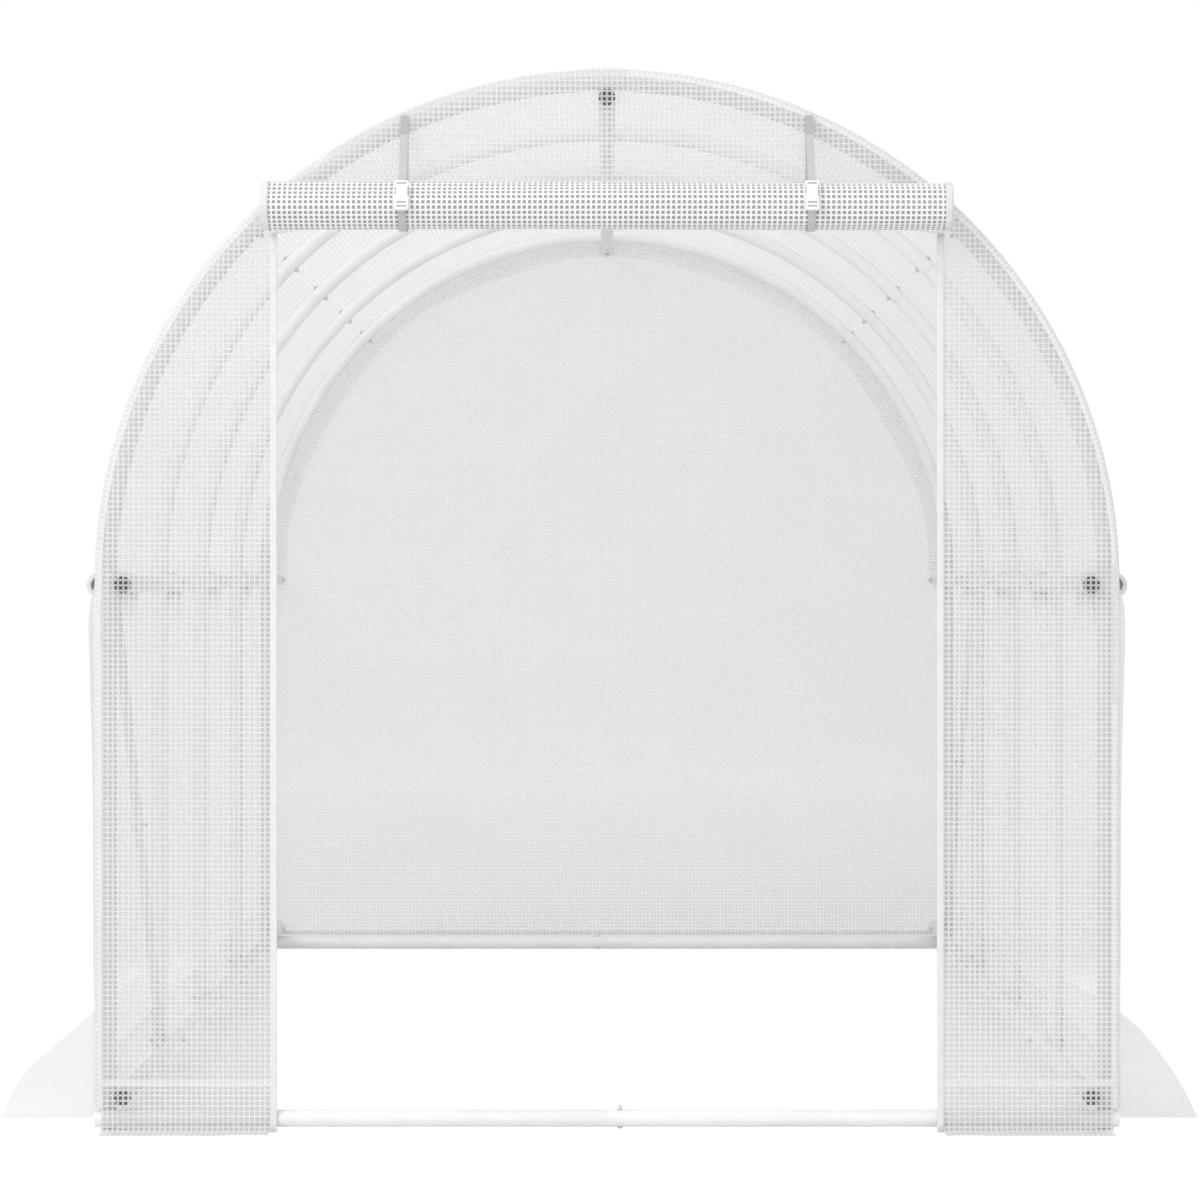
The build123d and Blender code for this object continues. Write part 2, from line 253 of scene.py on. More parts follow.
def bent_tube(hoop_y, side, start_angle, sweep, straight, wall, neck=0.0):
    """A tube along the arch, with a straight leg under it and a narrower neck at its far end."""
    angle = radians(start_angle)
    foot = (side * ARCH_RADIUS * cos(angle), hoop_y, SPRING + ARCH_RADIUS * sin(angle) - straight)
    clear_selection()
    bpy.ops.mesh.primitive_circle_add(
        vertices=32, radius=TUBE_RADIUS, location=foot, rotation=(0, -side * angle, 0)
    )
    settle()
    bpy.ops.object.mode_set(mode="EDIT")
    bpy.ops.mesh.select_all(action="SELECT")
    if straight:
        bpy.ops.mesh.extrude_region_move(TRANSFORM_OT_translate={"value": (0, 0, straight)})
    steps = max(8, round(sweep / 4))
    bpy.ops.mesh.spin(steps=steps, angle=radians(sweep), center=(0, hoop_y, SPRING), axis=(0, side, 0))
    if neck:
        tip = radians(start_angle + sweep)
        centre = (side * ARCH_RADIUS * cos(tip), hoop_y, SPRING + ARCH_RADIUS * sin(tip))
        shoulder, length = 0.0006, 0.02
        onward = (-side * sin(tip) * shoulder, 0, cos(tip) * shoulder)
        bpy.ops.mesh.extrude_region_move(TRANSFORM_OT_translate={"value": onward})
        narrow = 1 - neck / TUBE_RADIUS
        bpy.ops.transform.resize(value=(narrow, narrow, narrow), center_override=centre)
        onward = (-side * sin(tip) * length, 0, cos(tip) * length)
        bpy.ops.mesh.extrude_region_move(TRANSFORM_OT_translate={"value": onward})
    bpy.ops.mesh.select_all(action="SELECT")
    bpy.ops.mesh.remove_doubles(threshold=0.00005)
    bpy.ops.mesh.normals_make_consistent(inside=False)
    bpy.ops.object.mode_set(mode="OBJECT")
    tube = bpy.context.active_object
    shape_with(tube, "SOLIDIFY", thickness=wall, offset=-1)
    smooth(tube)
    return tube


def block(size, place, bevel, segments=2):
    """A box with eased edges, the start of a moulded part."""
    clear_selection()
    bpy.ops.mesh.primitive_cube_add(size=1, location=place, scale=size)
    body = settle()
    shape_with(body, "BEVEL", width=bevel, segments=segments, limit_method="NONE")
    return body


def cut(body, size, place):
    """Cuts a box-shaped opening through a part."""
    clear_selection()
    bpy.ops.mesh.primitive_cube_add(size=1, location=place, scale=size)
    cutter = settle()
    shape_with(body, "BOOLEAN", operation="DIFFERENCE", object=cutter, solver="EXACT")
    bpy.data.objects.remove(cutter)


def edit_top(thing):
    """Opens a part in edit mode with only its upward faces selected."""
    bpy.ops.object.mode_set(mode="EDIT")
    bpy.ops.mesh.select_all(action="DESELECT")
    bpy.ops.object.mode_set(mode="OBJECT")
    for face in thing.data.polygons:
        face.select = face.normal.z > 0.9
    bpy.ops.object.mode_set(mode="EDIT")


def placed(place, outward):
    """Turns a part's +Z outward and moves its origin to a place."""
    return Matrix.Translation(place) @ Vector(outward).to_track_quat("Z", "Y").to_matrix().to_4x4()


def bolt_shape(settings):
    """A domed bolt along Z with its seat at the origin, a hexagon nut below it and a stub of thread."""
    radius = settings.bolt
    clear_selection()
    bpy.ops.mesh.primitive_cylinder_add(vertices=20, radius=radius, depth=0.0016, location=(0, 0, 0.0008))
    head = settle()
    edit_top(head)
    for rise, narrow in ((0.0012, 0.82), (0.0007, 0.62), (0.0002, 0.4)):
        bpy.ops.mesh.extrude_region_move(TRANSFORM_OT_translate={"value": (0, 0, rise)})
        bpy.ops.transform.resize(value=(narrow, narrow, 1), center_override=(0, 0, 0.002))
    bpy.ops.object.mode_set(mode="OBJECT")
    clear_selection()
    nut_radius = radius * 0.95
    bpy.ops.mesh.primitive_cylinder_add(vertices=6, radius=nut_radius, depth=0.005, location=(0, 0, -0.0026))
    nut = settle()
    shape_with(nut, "BEVEL", width=0.0005, segments=1, angle_limit=radians(50))
    clear_selection()
    bpy.ops.mesh.primitive_cylinder_add(vertices=12, radius=0.003, depth=0.009, location=(0, 0, -0.0046))
    stub = settle()
    shape_with(stub, "BEVEL", width=0.0006, segments=1, angle_limit=radians(50))
    return join([head, nut, stub])


def set_bolts(name, pattern, places, material):
    """Copies the bolt to each (seat, outward, grip) and joins the copies into one piece."""
    made = []
    for seat, outward, grip in places:
        mesh = pattern.data.copy()
        for vertex in mesh.vertices:
            if vertex.co.z < -0.00005:
                vertex.co.z -= grip
        mesh.transform(placed(seat, outward))
        copy = bpy.data.objects.new(name, mesh)
        bpy.context.collection.objects.link(copy)
        made.append(copy)
    bolts = join(made)
    smooth(bolts, 35)
    return finish_piece(bolts, name, material, "tube")


def film_sheet(across, along, place):
    """A sheet on a grid of lines. place(a, b) gives x, y, z and the flat coordinates u, v, in metres."""
    columns, rows = len(across) - 1, len(along) - 1
    clear_selection()
    bpy.ops.mesh.primitive_grid_add(x_subdivisions=columns, y_subdivisions=rows, size=2)
    mesh = bpy.context.active_object.data
    flat = np.zeros((len(mesh.vertices), 2))
    for vertex in mesh.vertices:
        a = across[round((vertex.co.x + 1) / 2 * columns)]
        b = along[round((vertex.co.y + 1) / 2 * rows)]
        x, y, z, u, v = place(a, b)
        vertex.co = (x, y, z)
        flat[vertex.index] = (u, v)
    weave = mesh.uv_layers.active or mesh.uv_layers.new()
    weave.name = "weave"
    for loop in mesh.loops:
        weave.data[loop.index].uv = flat[loop.vertex_index]
    for face in mesh.polygons:
        face.use_smooth = True
    return bpy.context.active_object


def drop_faces(thing, unwanted):
    """Deletes the faces whose middle passes the test, as for a window."""
    pick(thing)
    bpy.ops.object.mode_set(mode="EDIT")
    bpy.ops.mesh.select_mode(type="FACE")
    bpy.ops.mesh.select_all(action="DESELECT")
    bpy.ops.object.mode_set(mode="OBJECT")
    for face in thing.data.polygons:
        face.select = unwanted(face.center)
    bpy.ops.object.mode_set(mode="EDIT")
    bpy.ops.mesh.delete(type="FACE")
    bpy.ops.object.mode_set(mode="OBJECT")


def lines(start, end, step):
    """Evenly spaced values from start to end, about a step apart."""
    return list(np.linspace(start, end, max(2, round(abs(end - start) / step) + 1)))


def wander(x, y, z, scale, amount):
    return amount * noise.noise(Vector((x * scale, y * scale, z * scale)))


def between_hoops(y):
    """0 on a hoop and 1 halfway between two hoops; past the end hoops it stays 0."""
    if abs(y) > abs(HOOP_YS[0]):
        return 0.0
    return (1 - cos(2 * pi * (y - HOOP_YS[0]) / BAY)) / 2


def near_hoop(y, reach):
    return max(exp(-(((y - hoop_y) / reach) ** 2)) for hoop_y in HOOP_YS)


# Making materials
def add_node(tree, kind, links=(), **values):
    """Adds a node, sets its properties and inputs, and links (output, input name) pairs."""
    node = tree.nodes.new(kind)
    for name, value in values.items():
        if hasattr(node, name) and name not in node.inputs:
            setattr(node, name, value)
        else:
            node.inputs[name].default_value = value
    for output, name in links:
        tree.links.new(output, node.inputs[name])
    return node


def calculate(tree, operation, first, second=None, third=None):
    node = tree.nodes.new("ShaderNodeMath")
    node.operation = operation
    for index, value in enumerate((first, second, third)):
        if value is None:
            continue
        if isinstance(value, (int, float)):
            node.inputs[index].default_value = value
        else:
            tree.links.new(value, node.inputs[index])
    return node.outputs[0]


def remap(tree, value, from_low, from_high, to_low, to_high):
    node = tree.nodes.new("ShaderNodeMapRange")
    tree.links.new(value, node.inputs["Value"])
    limits = {"From Min": from_low, "From Max": from_high, "To Min": to_low, "To Max": to_high}
    for name, number in limits.items():
        if isinstance(number, (int, float)):
            node.inputs[name].default_value = number
        else:
            tree.links.new(number, node.inputs[name])
    return node.outputs["Result"]


def scale_vector(tree, vector, amount):
    """Multiplies a colour or a vector by a value."""
    node = add_node(tree, "ShaderNodeVectorMath", [(vector, 0), (amount, "Scale")], operation="SCALE")
    return node.outputs[0]


def blend_colours(tree, factor, first, second):
    """Goes from the first colour to the second as the factor rises."""
    node = tree.nodes.new("ShaderNodeMix")
    node.data_type = "RGBA"
    tree.links.new(factor, node.inputs[0])
    node.inputs[6].default_value = (*first, 1)
    node.inputs[7].default_value = (*second, 1)
    return node.outputs[2]


def new_group(name, inputs, outputs):
    group = bpy.data.node_groups.new(name, "ShaderNodeTree")
    for socket, kind, default in inputs:
        made = group.interface.new_socket(socket, in_out="INPUT", socket_type=f"NodeSocket{kind}")
        if default is not None:
            made.default_value = default
    for socket, kind in outputs:
        group.interface.new_socket(socket, in_out="OUTPUT", socket_type=f"NodeSocket{kind}")
    return group, group.nodes.new("NodeGroupInput"), group.nodes.new("NodeGroupOutput")


def woven_grid_group():
    """Square threads on the film: a mask of the threads, and a height that rises where they cross."""
    group, inside, out = new_group(
        "Woven grid",
        [
            ("Vector", "Vector", None),
            ("Pitch", "Float", 0.0102),
            ("Width", "Float", 0.004),
            ("Waver", "Float", 0.0003),
        ],
        [("Thread", "Float"), ("Height", "Float")],
    )
    vector = inside.outputs["Vector"]
    drift = add_node(group, "ShaderNodeTexNoise", [(vector, "Vector")], Scale=9.0, Detail=1.0)
    centred = add_node(group, "ShaderNodeVectorMath", [(drift.outputs["Color"], 0)], operation="SUBTRACT")
    centred.inputs[1].default_value = (0.5, 0.5, 0.5)
    shift = scale_vector(group, centred.outputs[0], inside.outputs["Waver"])
    moved = add_node(group, "ShaderNodeVectorMath", [(vector, 0), (shift, 1)], operation="ADD")
    axes = add_node(group, "ShaderNodeSeparateXYZ", [(moved.outputs[0], "Vector")])
    half = calculate(group, "MULTIPLY", inside.outputs["Pitch"], 0.5)
    edge = calculate(group, "MULTIPLY", inside.outputs["Width"], 0.5)
    inner = calculate(group, "MULTIPLY", edge, 0.72)
    outer = calculate(group, "MULTIPLY", edge, 1.28)
    masks = []
    for axis in ("X", "Y"):
        offset = calculate(group, "PINGPONG", axes.outputs[axis], half)
        masks.append(remap(group, offset, outer, inner, 0.0, 1.0))
    thread = calculate(group, "MAXIMUM", masks[0], masks[1])
    crossing = calculate(group, "MULTIPLY", masks[0], masks[1])
    group.links.new(thread, out.inputs["Thread"])
    group.links.new(calculate(group, "MULTIPLY_ADD", crossing, 0.5, thread), out.inputs["Height"])
    return group


def uneven_tone_group():
    """Breaks up a colour with soft patches, and gives the patches as a mask."""
    group, inside, out = new_group(
        "Uneven tone",
        [
            ("Vector", "Vector", None),
            ("Color", "Color", (1, 1, 1, 1)),
            ("Scale", "Float", 6.0),
            ("Amount", "Float", 0.06),
        ],
        [("Color", "Color"), ("Mask", "Float")],
    )
    broad = add_node(
        group,
        "ShaderNodeTexNoise",
        [(inside.outputs["Vector"], "Vector"), (inside.outputs["Scale"], "Scale")],
        Detail=5.0,
        Roughness=0.6,
    )
    mask = remap(group, broad.outputs["Fac"], 0.3, 0.7, 0.0, 1.0)
    depth = calculate(group, "MULTIPLY", mask, inside.outputs["Amount"])
    keep = calculate(group, "SUBTRACT", 1.0, depth)
    group.links.new(scale_vector(group, inside.outputs["Color"], keep), out.inputs["Color"])
    group.links.new(mask, out.inputs["Mask"])
    return group


def ribbed_group():
    """Crossed slanting ribs of webbing and tape: their shade and their height."""
    group, inside, out = new_group(
        "Ribbed weave",
        [("Vector", "Vector", None), ("Pitch", "Float", 0.0016)],
        [("Shade", "Float"), ("Height", "Float")],
    )
    axes = add_node(group, "ShaderNodeSeparateXYZ", [(inside.outputs["Vector"], "Vector")])
    half = calculate(group, "MULTIPLY", inside.outputs["Pitch"], 0.5)
    slant = calculate(group, "ADD", axes.outputs["X"], axes.outputs["Y"])
    counter = calculate(group, "SUBTRACT", axes.outputs["X"], axes.outputs["Y"])
    waves = [calculate(group, "PINGPONG", way, half) for way in (slant, counter)]
    ribs = [remap(group, wave, 0.0, half, 0.0, 1.0) for wave in waves]
    height = calculate(group, "MULTIPLY", ribs[0], ribs[1])
    group.links.new(height, out.inputs["Height"])
    group.links.new(remap(group, height, 0.0, 1.0, 0.93, 1.0), out.inputs["Shade"])
    return group


def group_node(tree, group, vector, **values):
    node = add_node(tree, "ShaderNodeGroup", node_tree=group)
    tree.links.new(vector, node.inputs["Vector"])
    for name, value in values.items():
        node.inputs[name].default_value = value
    return node


def start_material(name, colour):
    """A material with a Principled shader and a plain view colour."""
    material = bpy.data.materials.new(name)
    material.use_nodes = True
    material.diffuse_color = (*colour, 1)
    shader = material.node_tree.nodes["Principled BSDF"]
    return material, material.node_tree, shader


def bump(tree, height, strength, distance):
    node = add_node(tree, "ShaderNodeBump", [(height, "Height")], Strength=strength, Distance=distance)
    return node.outputs["Normal"]


def film_material(
    name, groups, film, thread_cover, cell_cover, glow=0.5, pitch=None, thread=None, cell_tone=None
):
    """Film with woven threads. What isn't covered shows what lies behind; glow is the light let through."""
    material, tree, shader = start_material(name, film.thread_tone)
    weave = add_node(tree, "ShaderNodeUVMap", uv_map="weave").outputs["UV"]
    grid = group_node(tree, groups["grid"], weave, Pitch=pitch or film.pitch, Width=thread or film.thread)
    bright = remap(tree, grid.outputs["Thread"], 0.0, 0.4, 0.0, 1.0)
    tone = blend_colours(tree, bright, cell_tone or film.cell_tone, film.thread_tone)
    uneven = group_node(tree, groups["tone"], weave, Scale=5.0, Amount=0.04)
    tree.links.new(tone, uneven.inputs["Color"])
    tree.links.new(uneven.outputs["Color"], shader.inputs["Base Color"])
    tree.links.new(remap(tree, grid.outputs["Thread"], 0.0, 1.0, 0.28, 0.5), shader.inputs["Roughness"])
    raised = bump(tree, grid.outputs["Height"], 0.5, 0.0006)
    tree.links.new(raised, shader.inputs["Normal"])
    if glow:
        behind = add_node(tree, "ShaderNodeBsdfTranslucent", [(uneven.outputs["Color"], "Color")])
        lit = add_node(tree, "ShaderNodeMixShader", [(shader.outputs[0], 1), (behind.outputs[0], 2)])
        lit.inputs[0].default_value = glow
    else:
        lit = shader
    cover = remap(tree, grid.outputs["Thread"], 0.0, 1.0, cell_cover, thread_cover)
    out = tree.nodes["Material Output"]
    if cell_cover < 1:
        clear = add_node(tree, "ShaderNodeBsdfTransparent")
        links = [(cover, 0), (clear.outputs[0], 1), (lit.outputs[0], 2)]
        film_mix = add_node(tree, "ShaderNodeMixShader", links)
        tree.links.new(film_mix.outputs[0], out.inputs["Surface"])
    else:
        tree.links.new(lit.outputs[0], out.inputs["Surface"])
    return material


def coated_material(name, groups, colour):
    """White coat on steel tube: faint orange peel, soft patches, painted shade towards the rims, and painted
    shade where it is seen through the film, deepest at the end hoops.
    """
    material, tree, shader = start_material(name, colour)
    place = add_node(tree, "ShaderNodeTexCoord").outputs["Object"]
    uneven = group_node(tree, groups["tone"], place, Color=(*colour, 1), Scale=7.0, Amount=0.06)
    # Painted shade: the coat darkens towards the rims that turn away from view.
    facing = add_node(tree, "ShaderNodeLayerWeight", Blend=0.5).outputs["Facing"]
    # Painted shade: the tube is drawn darker where it is seen through the film, most at the end hoops.
    depth = add_node(tree, "ShaderNodeLightPath").outputs["Transparent Depth"]
    behind_film = calculate(tree, "GREATER_THAN", depth, 0.5)
    axes = add_node(tree, "ShaderNodeSeparateXYZ", [(place, "Vector")])
    along = calculate(tree, "ABSOLUTE", axes.outputs["Y"])
    painted_film_shade = remap(tree, behind_film, 0.0, 1.0, 1.0, remap(tree, along, 0.8, 1.45, 0.93, 0.8))
    rim = calculate(tree, "MULTIPLY", painted_film_shade, remap(tree, facing, 0.5, 0.95, 1.0, 0.8))
    tree.links.new(scale_vector(tree, uneven.outputs["Color"], rim), shader.inputs["Base Color"])
    tree.links.new(remap(tree, uneven.outputs["Mask"], 0.0, 1.0, 0.26, 0.4), shader.inputs["Roughness"])
    peel = add_node(tree, "ShaderNodeTexNoise", [(place, "Vector")], Scale=420.0, Detail=2.0)
    tree.links.new(bump(tree, peel.outputs["Fac"], 0.12, 0.0004), shader.inputs["Normal"])
    shader.inputs["Coat Weight"].default_value = 0.15
    shader.inputs["Coat Roughness"].default_value = 0.2
    return material


def metal_material(name, groups, colour):
    material, tree, shader = start_material(name, colour)
    place = add_node(tree, "ShaderNodeTexCoord").outputs["Object"]
    uneven = group_node(tree, groups["tone"], place, Color=(*colour, 1), Scale=300.0, Amount=0.3)
    tree.links.new(uneven.outputs["Color"], shader.inputs["Base Color"])
    tree.links.new(remap(tree, uneven.outputs["Mask"], 0.0, 1.0, 0.3, 0.5), shader.inputs["Roughness"])
    shader.inputs["Metallic"].default_value = 0.6
    return material


def webbing_material(name, groups, colour, pitch):
    """Webbing or binding tape with slanting ribs that follow the strip."""
    material, tree, shader = start_material(name, colour)
    weave = add_node(tree, "ShaderNodeUVMap", uv_map="weave").outputs["UV"]
    ribs = group_node(tree, groups["ribs"], weave, Pitch=pitch)
    uneven = group_node(tree, groups["tone"], weave, Color=(*colour, 1), Scale=40.0, Amount=0.08)
    shade = scale_vector(tree, uneven.outputs["Color"], ribs.outputs["Shade"])
    tree.links.new(shade, shader.inputs["Base Color"])
    tree.links.new(remap(tree, ribs.outputs["Height"], 0.0, 1.0, 0.85, 0.65), shader.inputs["Roughness"])
    tree.links.new(bump(tree, ribs.outputs["Height"], 0.6, 0.0004), shader.inputs["Normal"])
    shader.inputs["Sheen Weight"].default_value = 0.15
    return material


def plastic_material(name, groups, colour):
    """Moulded plastic with a fine spark texture."""
    material, tree, shader = start_material(name, colour)
    place = add_node(tree, "ShaderNodeTexCoord").outputs["Object"]
    uneven = group_node(tree, groups["tone"], place, Color=(*colour, 1), Scale=60.0, Amount=0.04)
    tree.links.new(uneven.outputs["Color"], shader.inputs["Base Color"])
    tree.links.new(remap(tree, uneven.outputs["Mask"], 0.0, 1.0, 0.35, 0.48), shader.inputs["Roughness"])
    spark = add_node(tree, "ShaderNodeTexNoise", [(place, "Vector")], Scale=1800.0, Detail=2.0)
    tree.links.new(bump(tree, spark.outputs["Fac"], 0.15, 0.0002), shader.inputs["Normal"])
    return material


def make_materials(scene):
    """Every finish of the greenhouse, made once."""
    frame_set, film, trim = scene.greenhouse_frame, scene.greenhouse_film, scene.greenhouse_trim
    groups = {"grid": woven_grid_group(), "tone": uneven_tone_group(), "ribs": ribbed_group()}
    coated_material("Coated steel", groups, tuple(frame_set.coat))
    metal_material("Zinc", groups, tuple(frame_set.steel))
    film_material("Woven film", groups, film, film.thread_cover, film.cell_cover)
    for name, thread_cover, cell_cover, glow, widening, cell_tone in (
        # The dark grey between the threads of the rolled door is painted shade of the roll's inner turns.
        ("Rolled film", 1.0, 1.0, 0.0, 0.9, (0.33, 0.335, 0.335)),
        ("Loosely rolled film", 1.0, 1.0, 0.6, 1.0, (0.6, 0.605, 0.605)),
        ("Seam film", 0.98, 0.85, 0.3, 1.0, (0.9, 0.905, 0.905)),
        ("Lining film", 0.95, 0.3, 0.65, 1.3, (0.8, 0.805, 0.805)),
        ("Skirt film", 1.0, 1.0, 0.0, 1.0, (0.94, 0.945, 0.945)),
    ):
        thread = film.thread * widening
        film_material(name, groups, film, thread_cover, cell_cover, glow, thread=thread, cell_tone=cell_tone)
    net_tone = tuple(trim.net)
    film_material("Window net", groups, film, 0.9, 0.12, pitch=0.0034, thread=0.0014, cell_tone=net_tone)
    webbing_material("Binding tape", groups, tuple(trim.tape), 0.0012)
    webbing_material("Strap webbing", groups, tuple(trim.strap), 0.0018)
    # The anchor webbing is the strap colour darkened: painted shade of the strap's top lying in shadow behind
    # the film.
    webbing_material("Anchor webbing", groups, tuple(tone * 0.8 for tone in trim.strap), 0.0018)
    plastic_material("Buckle plastic", groups, tuple(trim.buckle))
    plastic_material("Plug plastic", groups, (0.02, 0.02, 0.021))


def finish(name):
    if name not in bpy.data.materials:
        make_materials(bpy.context.scene)
    return bpy.data.materials[name]


# Steel frame
class GREENHOUSE_OT_hoops(Operator):
    """Makes the five hoops, each with a crown slipped over two legs"""

    bl_idname = "greenhouse.hoops"
    bl_label = "Hoops"

    def execute(self, context):
        settings = context.scene.greenhouse_frame
        overlap = settings.swage / ARCH_RADIUS * 180 / pi
        for number, hoop_y in enumerate(HOOP_YS, 1):
            crown_sweep = 180 - 2 * (SLIP_ANGLE - overlap)
            crown = bent_tube(hoop_y, 1, SLIP_ANGLE - overlap, crown_sweep, 0, settings.wall)
            finish_piece(crown, f"crown_{number}", finish("Coated steel"), "tube", f"hoop_{number}_crown")
            leg_sweep, neck = SLIP_ANGLE - 0.2 - overlap, 0.0013
            both = [bent_tube(hoop_y, side, 0, leg_sweep, SPRING, settings.wall, neck) for _, side in SIDES]
            legs = join(both)
            smooth(legs)
            finish_piece(legs, f"legs_{number}", finish("Coated steel"), "tube", f"hoop_{number}_legs")
        return {"FINISHED"}


class GREENHOUSE_OT_long_tubes(Operator):
    """Makes the ridge, side purlins, base rails and sills"""

    bl_idname = "greenhouse.long_tubes"
    bl_label = "Long tubes"

    def execute(self, context):
        wall = context.scene.greenhouse_frame.wall
        plugs = []
        for node in (
            "ridge_purlin",
            "left_side_purlin",
            "right_side_purlin",
            "left_base_rail",
            "right_base_rail",
        ):
            at = middle(node)
            tube = open_tube((at.x, low(node).y, at.z), (at.x, high(node).y, at.z), TUBE_RADIUS, wall)
            finish_piece(tube, node + "_tube", finish("Coated steel"), "tube", node)
            for y, facing in ((low(node).y, -1), (high(node).y, 1)):
                plugs.append(self.end_plug((at.x, y, at.z), facing))
        finish_piece(join(plugs), "tube_end_plugs", finish("Plug plastic"), "tube")
        for node in ("front_sill_left", "front_sill_right", "rear_sill_left", "rear_sill_right"):
            at = middle(node)
            ends = max(low(node).x, -SILL_REACH), min(high(node).x, SILL_REACH)
            tube = open_tube((ends[0], at.y, at.z), (ends[1], at.y, at.z), TUBE_RADIUS, wall)
            finish_piece(tube, node + "_tube", finish("Coated steel"), "tube", node)
        return {"FINISHED"}

    def end_plug(self, place, facing):
        """A plug with a thin flange over the tube's rim, its face slightly dished."""
        clear_selection()
        flange = 0.002
        bpy.ops.mesh.primitive_cylinder_add(
            vertices=32, radius=TUBE_RADIUS, depth=flange, location=(0, 0, flange / 2)
        )
        plug = settle()
        edit_top(plug)
        bpy.ops.mesh.inset(thickness=0.0022, depth=0)
        bpy.ops.mesh.inset(thickness=0.001, depth=-0.0009)
        bpy.ops.object.mode_set(mode="OBJECT")
        shape_with(plug, "BEVEL", width=0.0004, segments=2, angle_limit=radians(40))
        plug.data.transform(placed(place, (0, facing, 0)))
        smooth(plug)
        return plug


class GREENHOUSE_OT_braces(Operator):
    """Makes the two diagonal braces"""

    bl_idname = "greenhouse.braces"
    bl_label = "Braces"

    def execute(self, context):
        wall = context.scene.greenhouse_frame.wall
        for node in ("left_front_brace", "right_rear_brace"):
            first, last, at = low(node), high(node), middle(node)
            lean = atan2(last.z - first.z, last.y - first.y)
            back = Vector((0, BRACE_RADIUS * sin(lean), BRACE_RADIUS * cos(lean)))
            top = Vector((at.x, first.y + back.y, last.z - back.z))
            foot = Vector((at.x, last.y - back.y, first.z + back.z))
            tube = open_tube(top, foot, BRACE_RADIUS, wall, 24)
            finish_piece(tube, node + "_tube", finish("Coated steel"), "tube", node)
        return {"FINISHED"}


class GREENHOUSE_OT_bolts(Operator):
    """Sets a bolt and nut at every crossing, slip joint, sill and brace"""

    bl_idname = "greenhouse.bolts"
    bl_label = "Bolts"

    def execute(self, context):
        pattern = bolt_shape(context.scene.greenhouse_frame)
        steel = finish("Zinc")
        outside = ARCH_RADIUS + TUBE_RADIUS
        through_both = 4 * TUBE_RADIUS + 0.0003
        turn = radians(SLIP_ANGLE)
        places = {name: [] for name in ("joint", "ridge", "side_purlin", "base_rail", "sill", "brace")}
        for hoop_y in HOOP_YS:
            places["ridge"].append(((0, hoop_y, SPRING + outside), (0, 0, 1), through_both))
            for side_name, side in SIDES:
                outward = (side * cos(turn), 0, sin(turn))
                seat = (outward[0] * outside, hoop_y, SPRING + outward[2] * outside)
                places["joint"].append((seat, outward, 2 * TUBE_RADIUS))
                for tube in ("side_purlin", "base_rail"):
                    height = middle(f"{side_name}_{tube}").z
                    places[tube].append(((side * outside, hoop_y, height), (side, 0, 0), through_both))
        for end, beside in (("front", 0.025), ("rear", -0.025)):
            at = middle(f"{end}_sill_left")
            places["sill"].append(((beside, at.y, at.z - TUBE_RADIUS), (0, 0, -1), 2 * TUBE_RADIUS))
        for node, side in (("left_front_brace", -1), ("right_rear_brace", 1)):
            at = middle(node)
            places["brace"].append(((at.x + side * BRACE_RADIUS, at.y, at.z), (side, 0, 0), 2 * BRACE_RADIUS))
        for name, seats in places.items():
            set_bolts(f"{name}_bolts", pattern, seats, steel)
        bpy.data.objects.remove(pattern)
        return {"FINISHED"}


# Film cover
def roof_radius(angle, y, sag):
    """Distance of the film from the arch's axis: sunk between the hoops and lifted by the bolt heads."""
    radius = FILM_FACE - sag * between_hoops(y) * (0.35 + 0.65 * sin(angle))
    for bolt_angle, rise in ((pi / 4, 0.0035), (pi / 2, 0.009), (3 * pi / 4, 0.0035)):
        away = (angle - bolt_angle) * ARCH_RADIUS
        radius += rise * exp(-((away / 0.05) ** 2)) * near_hoop(y, 0.06)
    return radius + wander(cos(angle), y, sin(angle), 3.0, 0.0022) * between_hoops(y)


def wall_offset(y, z, sag):
    """Distance of the side film from the middle plane: full at the purlin, drawn in towards the ground."""
    full = 0.010 * exp(-(((z - SPRING) / 0.3) ** 2)) + 0.003
    drawn = full * (1 - 0.6 * between_hoops(y)) - 0.4 * sag * between_hoops(y)
    blend = min(1.0, max(0.0, (SPRING - z) / 0.06))
    at_spring = FILM_FACE - 0.35 * sag * between_hoops(y)
    down = COVER_FACE + drawn + wander(0.3, y, z, 2.6, 0.003) * between_hoops(y)
    return at_spring + (down - at_spring) * blend


class GREENHOUSE_OT_roof_cover(Operator):
    """Lays the roof film over the hoops"""

    bl_idname = "greenhouse.roof_cover"
    bl_label = "Roof cover"

    def execute(self, context):
        sag = context.scene.greenhouse_film.sag

        def place(angle, y):
            radius = roof_radius(angle, y, sag)
            return radius * cos(angle), y, SPRING + radius * sin(angle), COVER_FACE * angle, y

        roof = film_sheet(lines(0, pi, 0.03), lines(-PANEL_FACE, PANEL_FACE, 0.025), place)
        finish_piece(roof, "roof_film", finish("Woven film"), "film", "roof_cover")
        return {"FINISHED"}


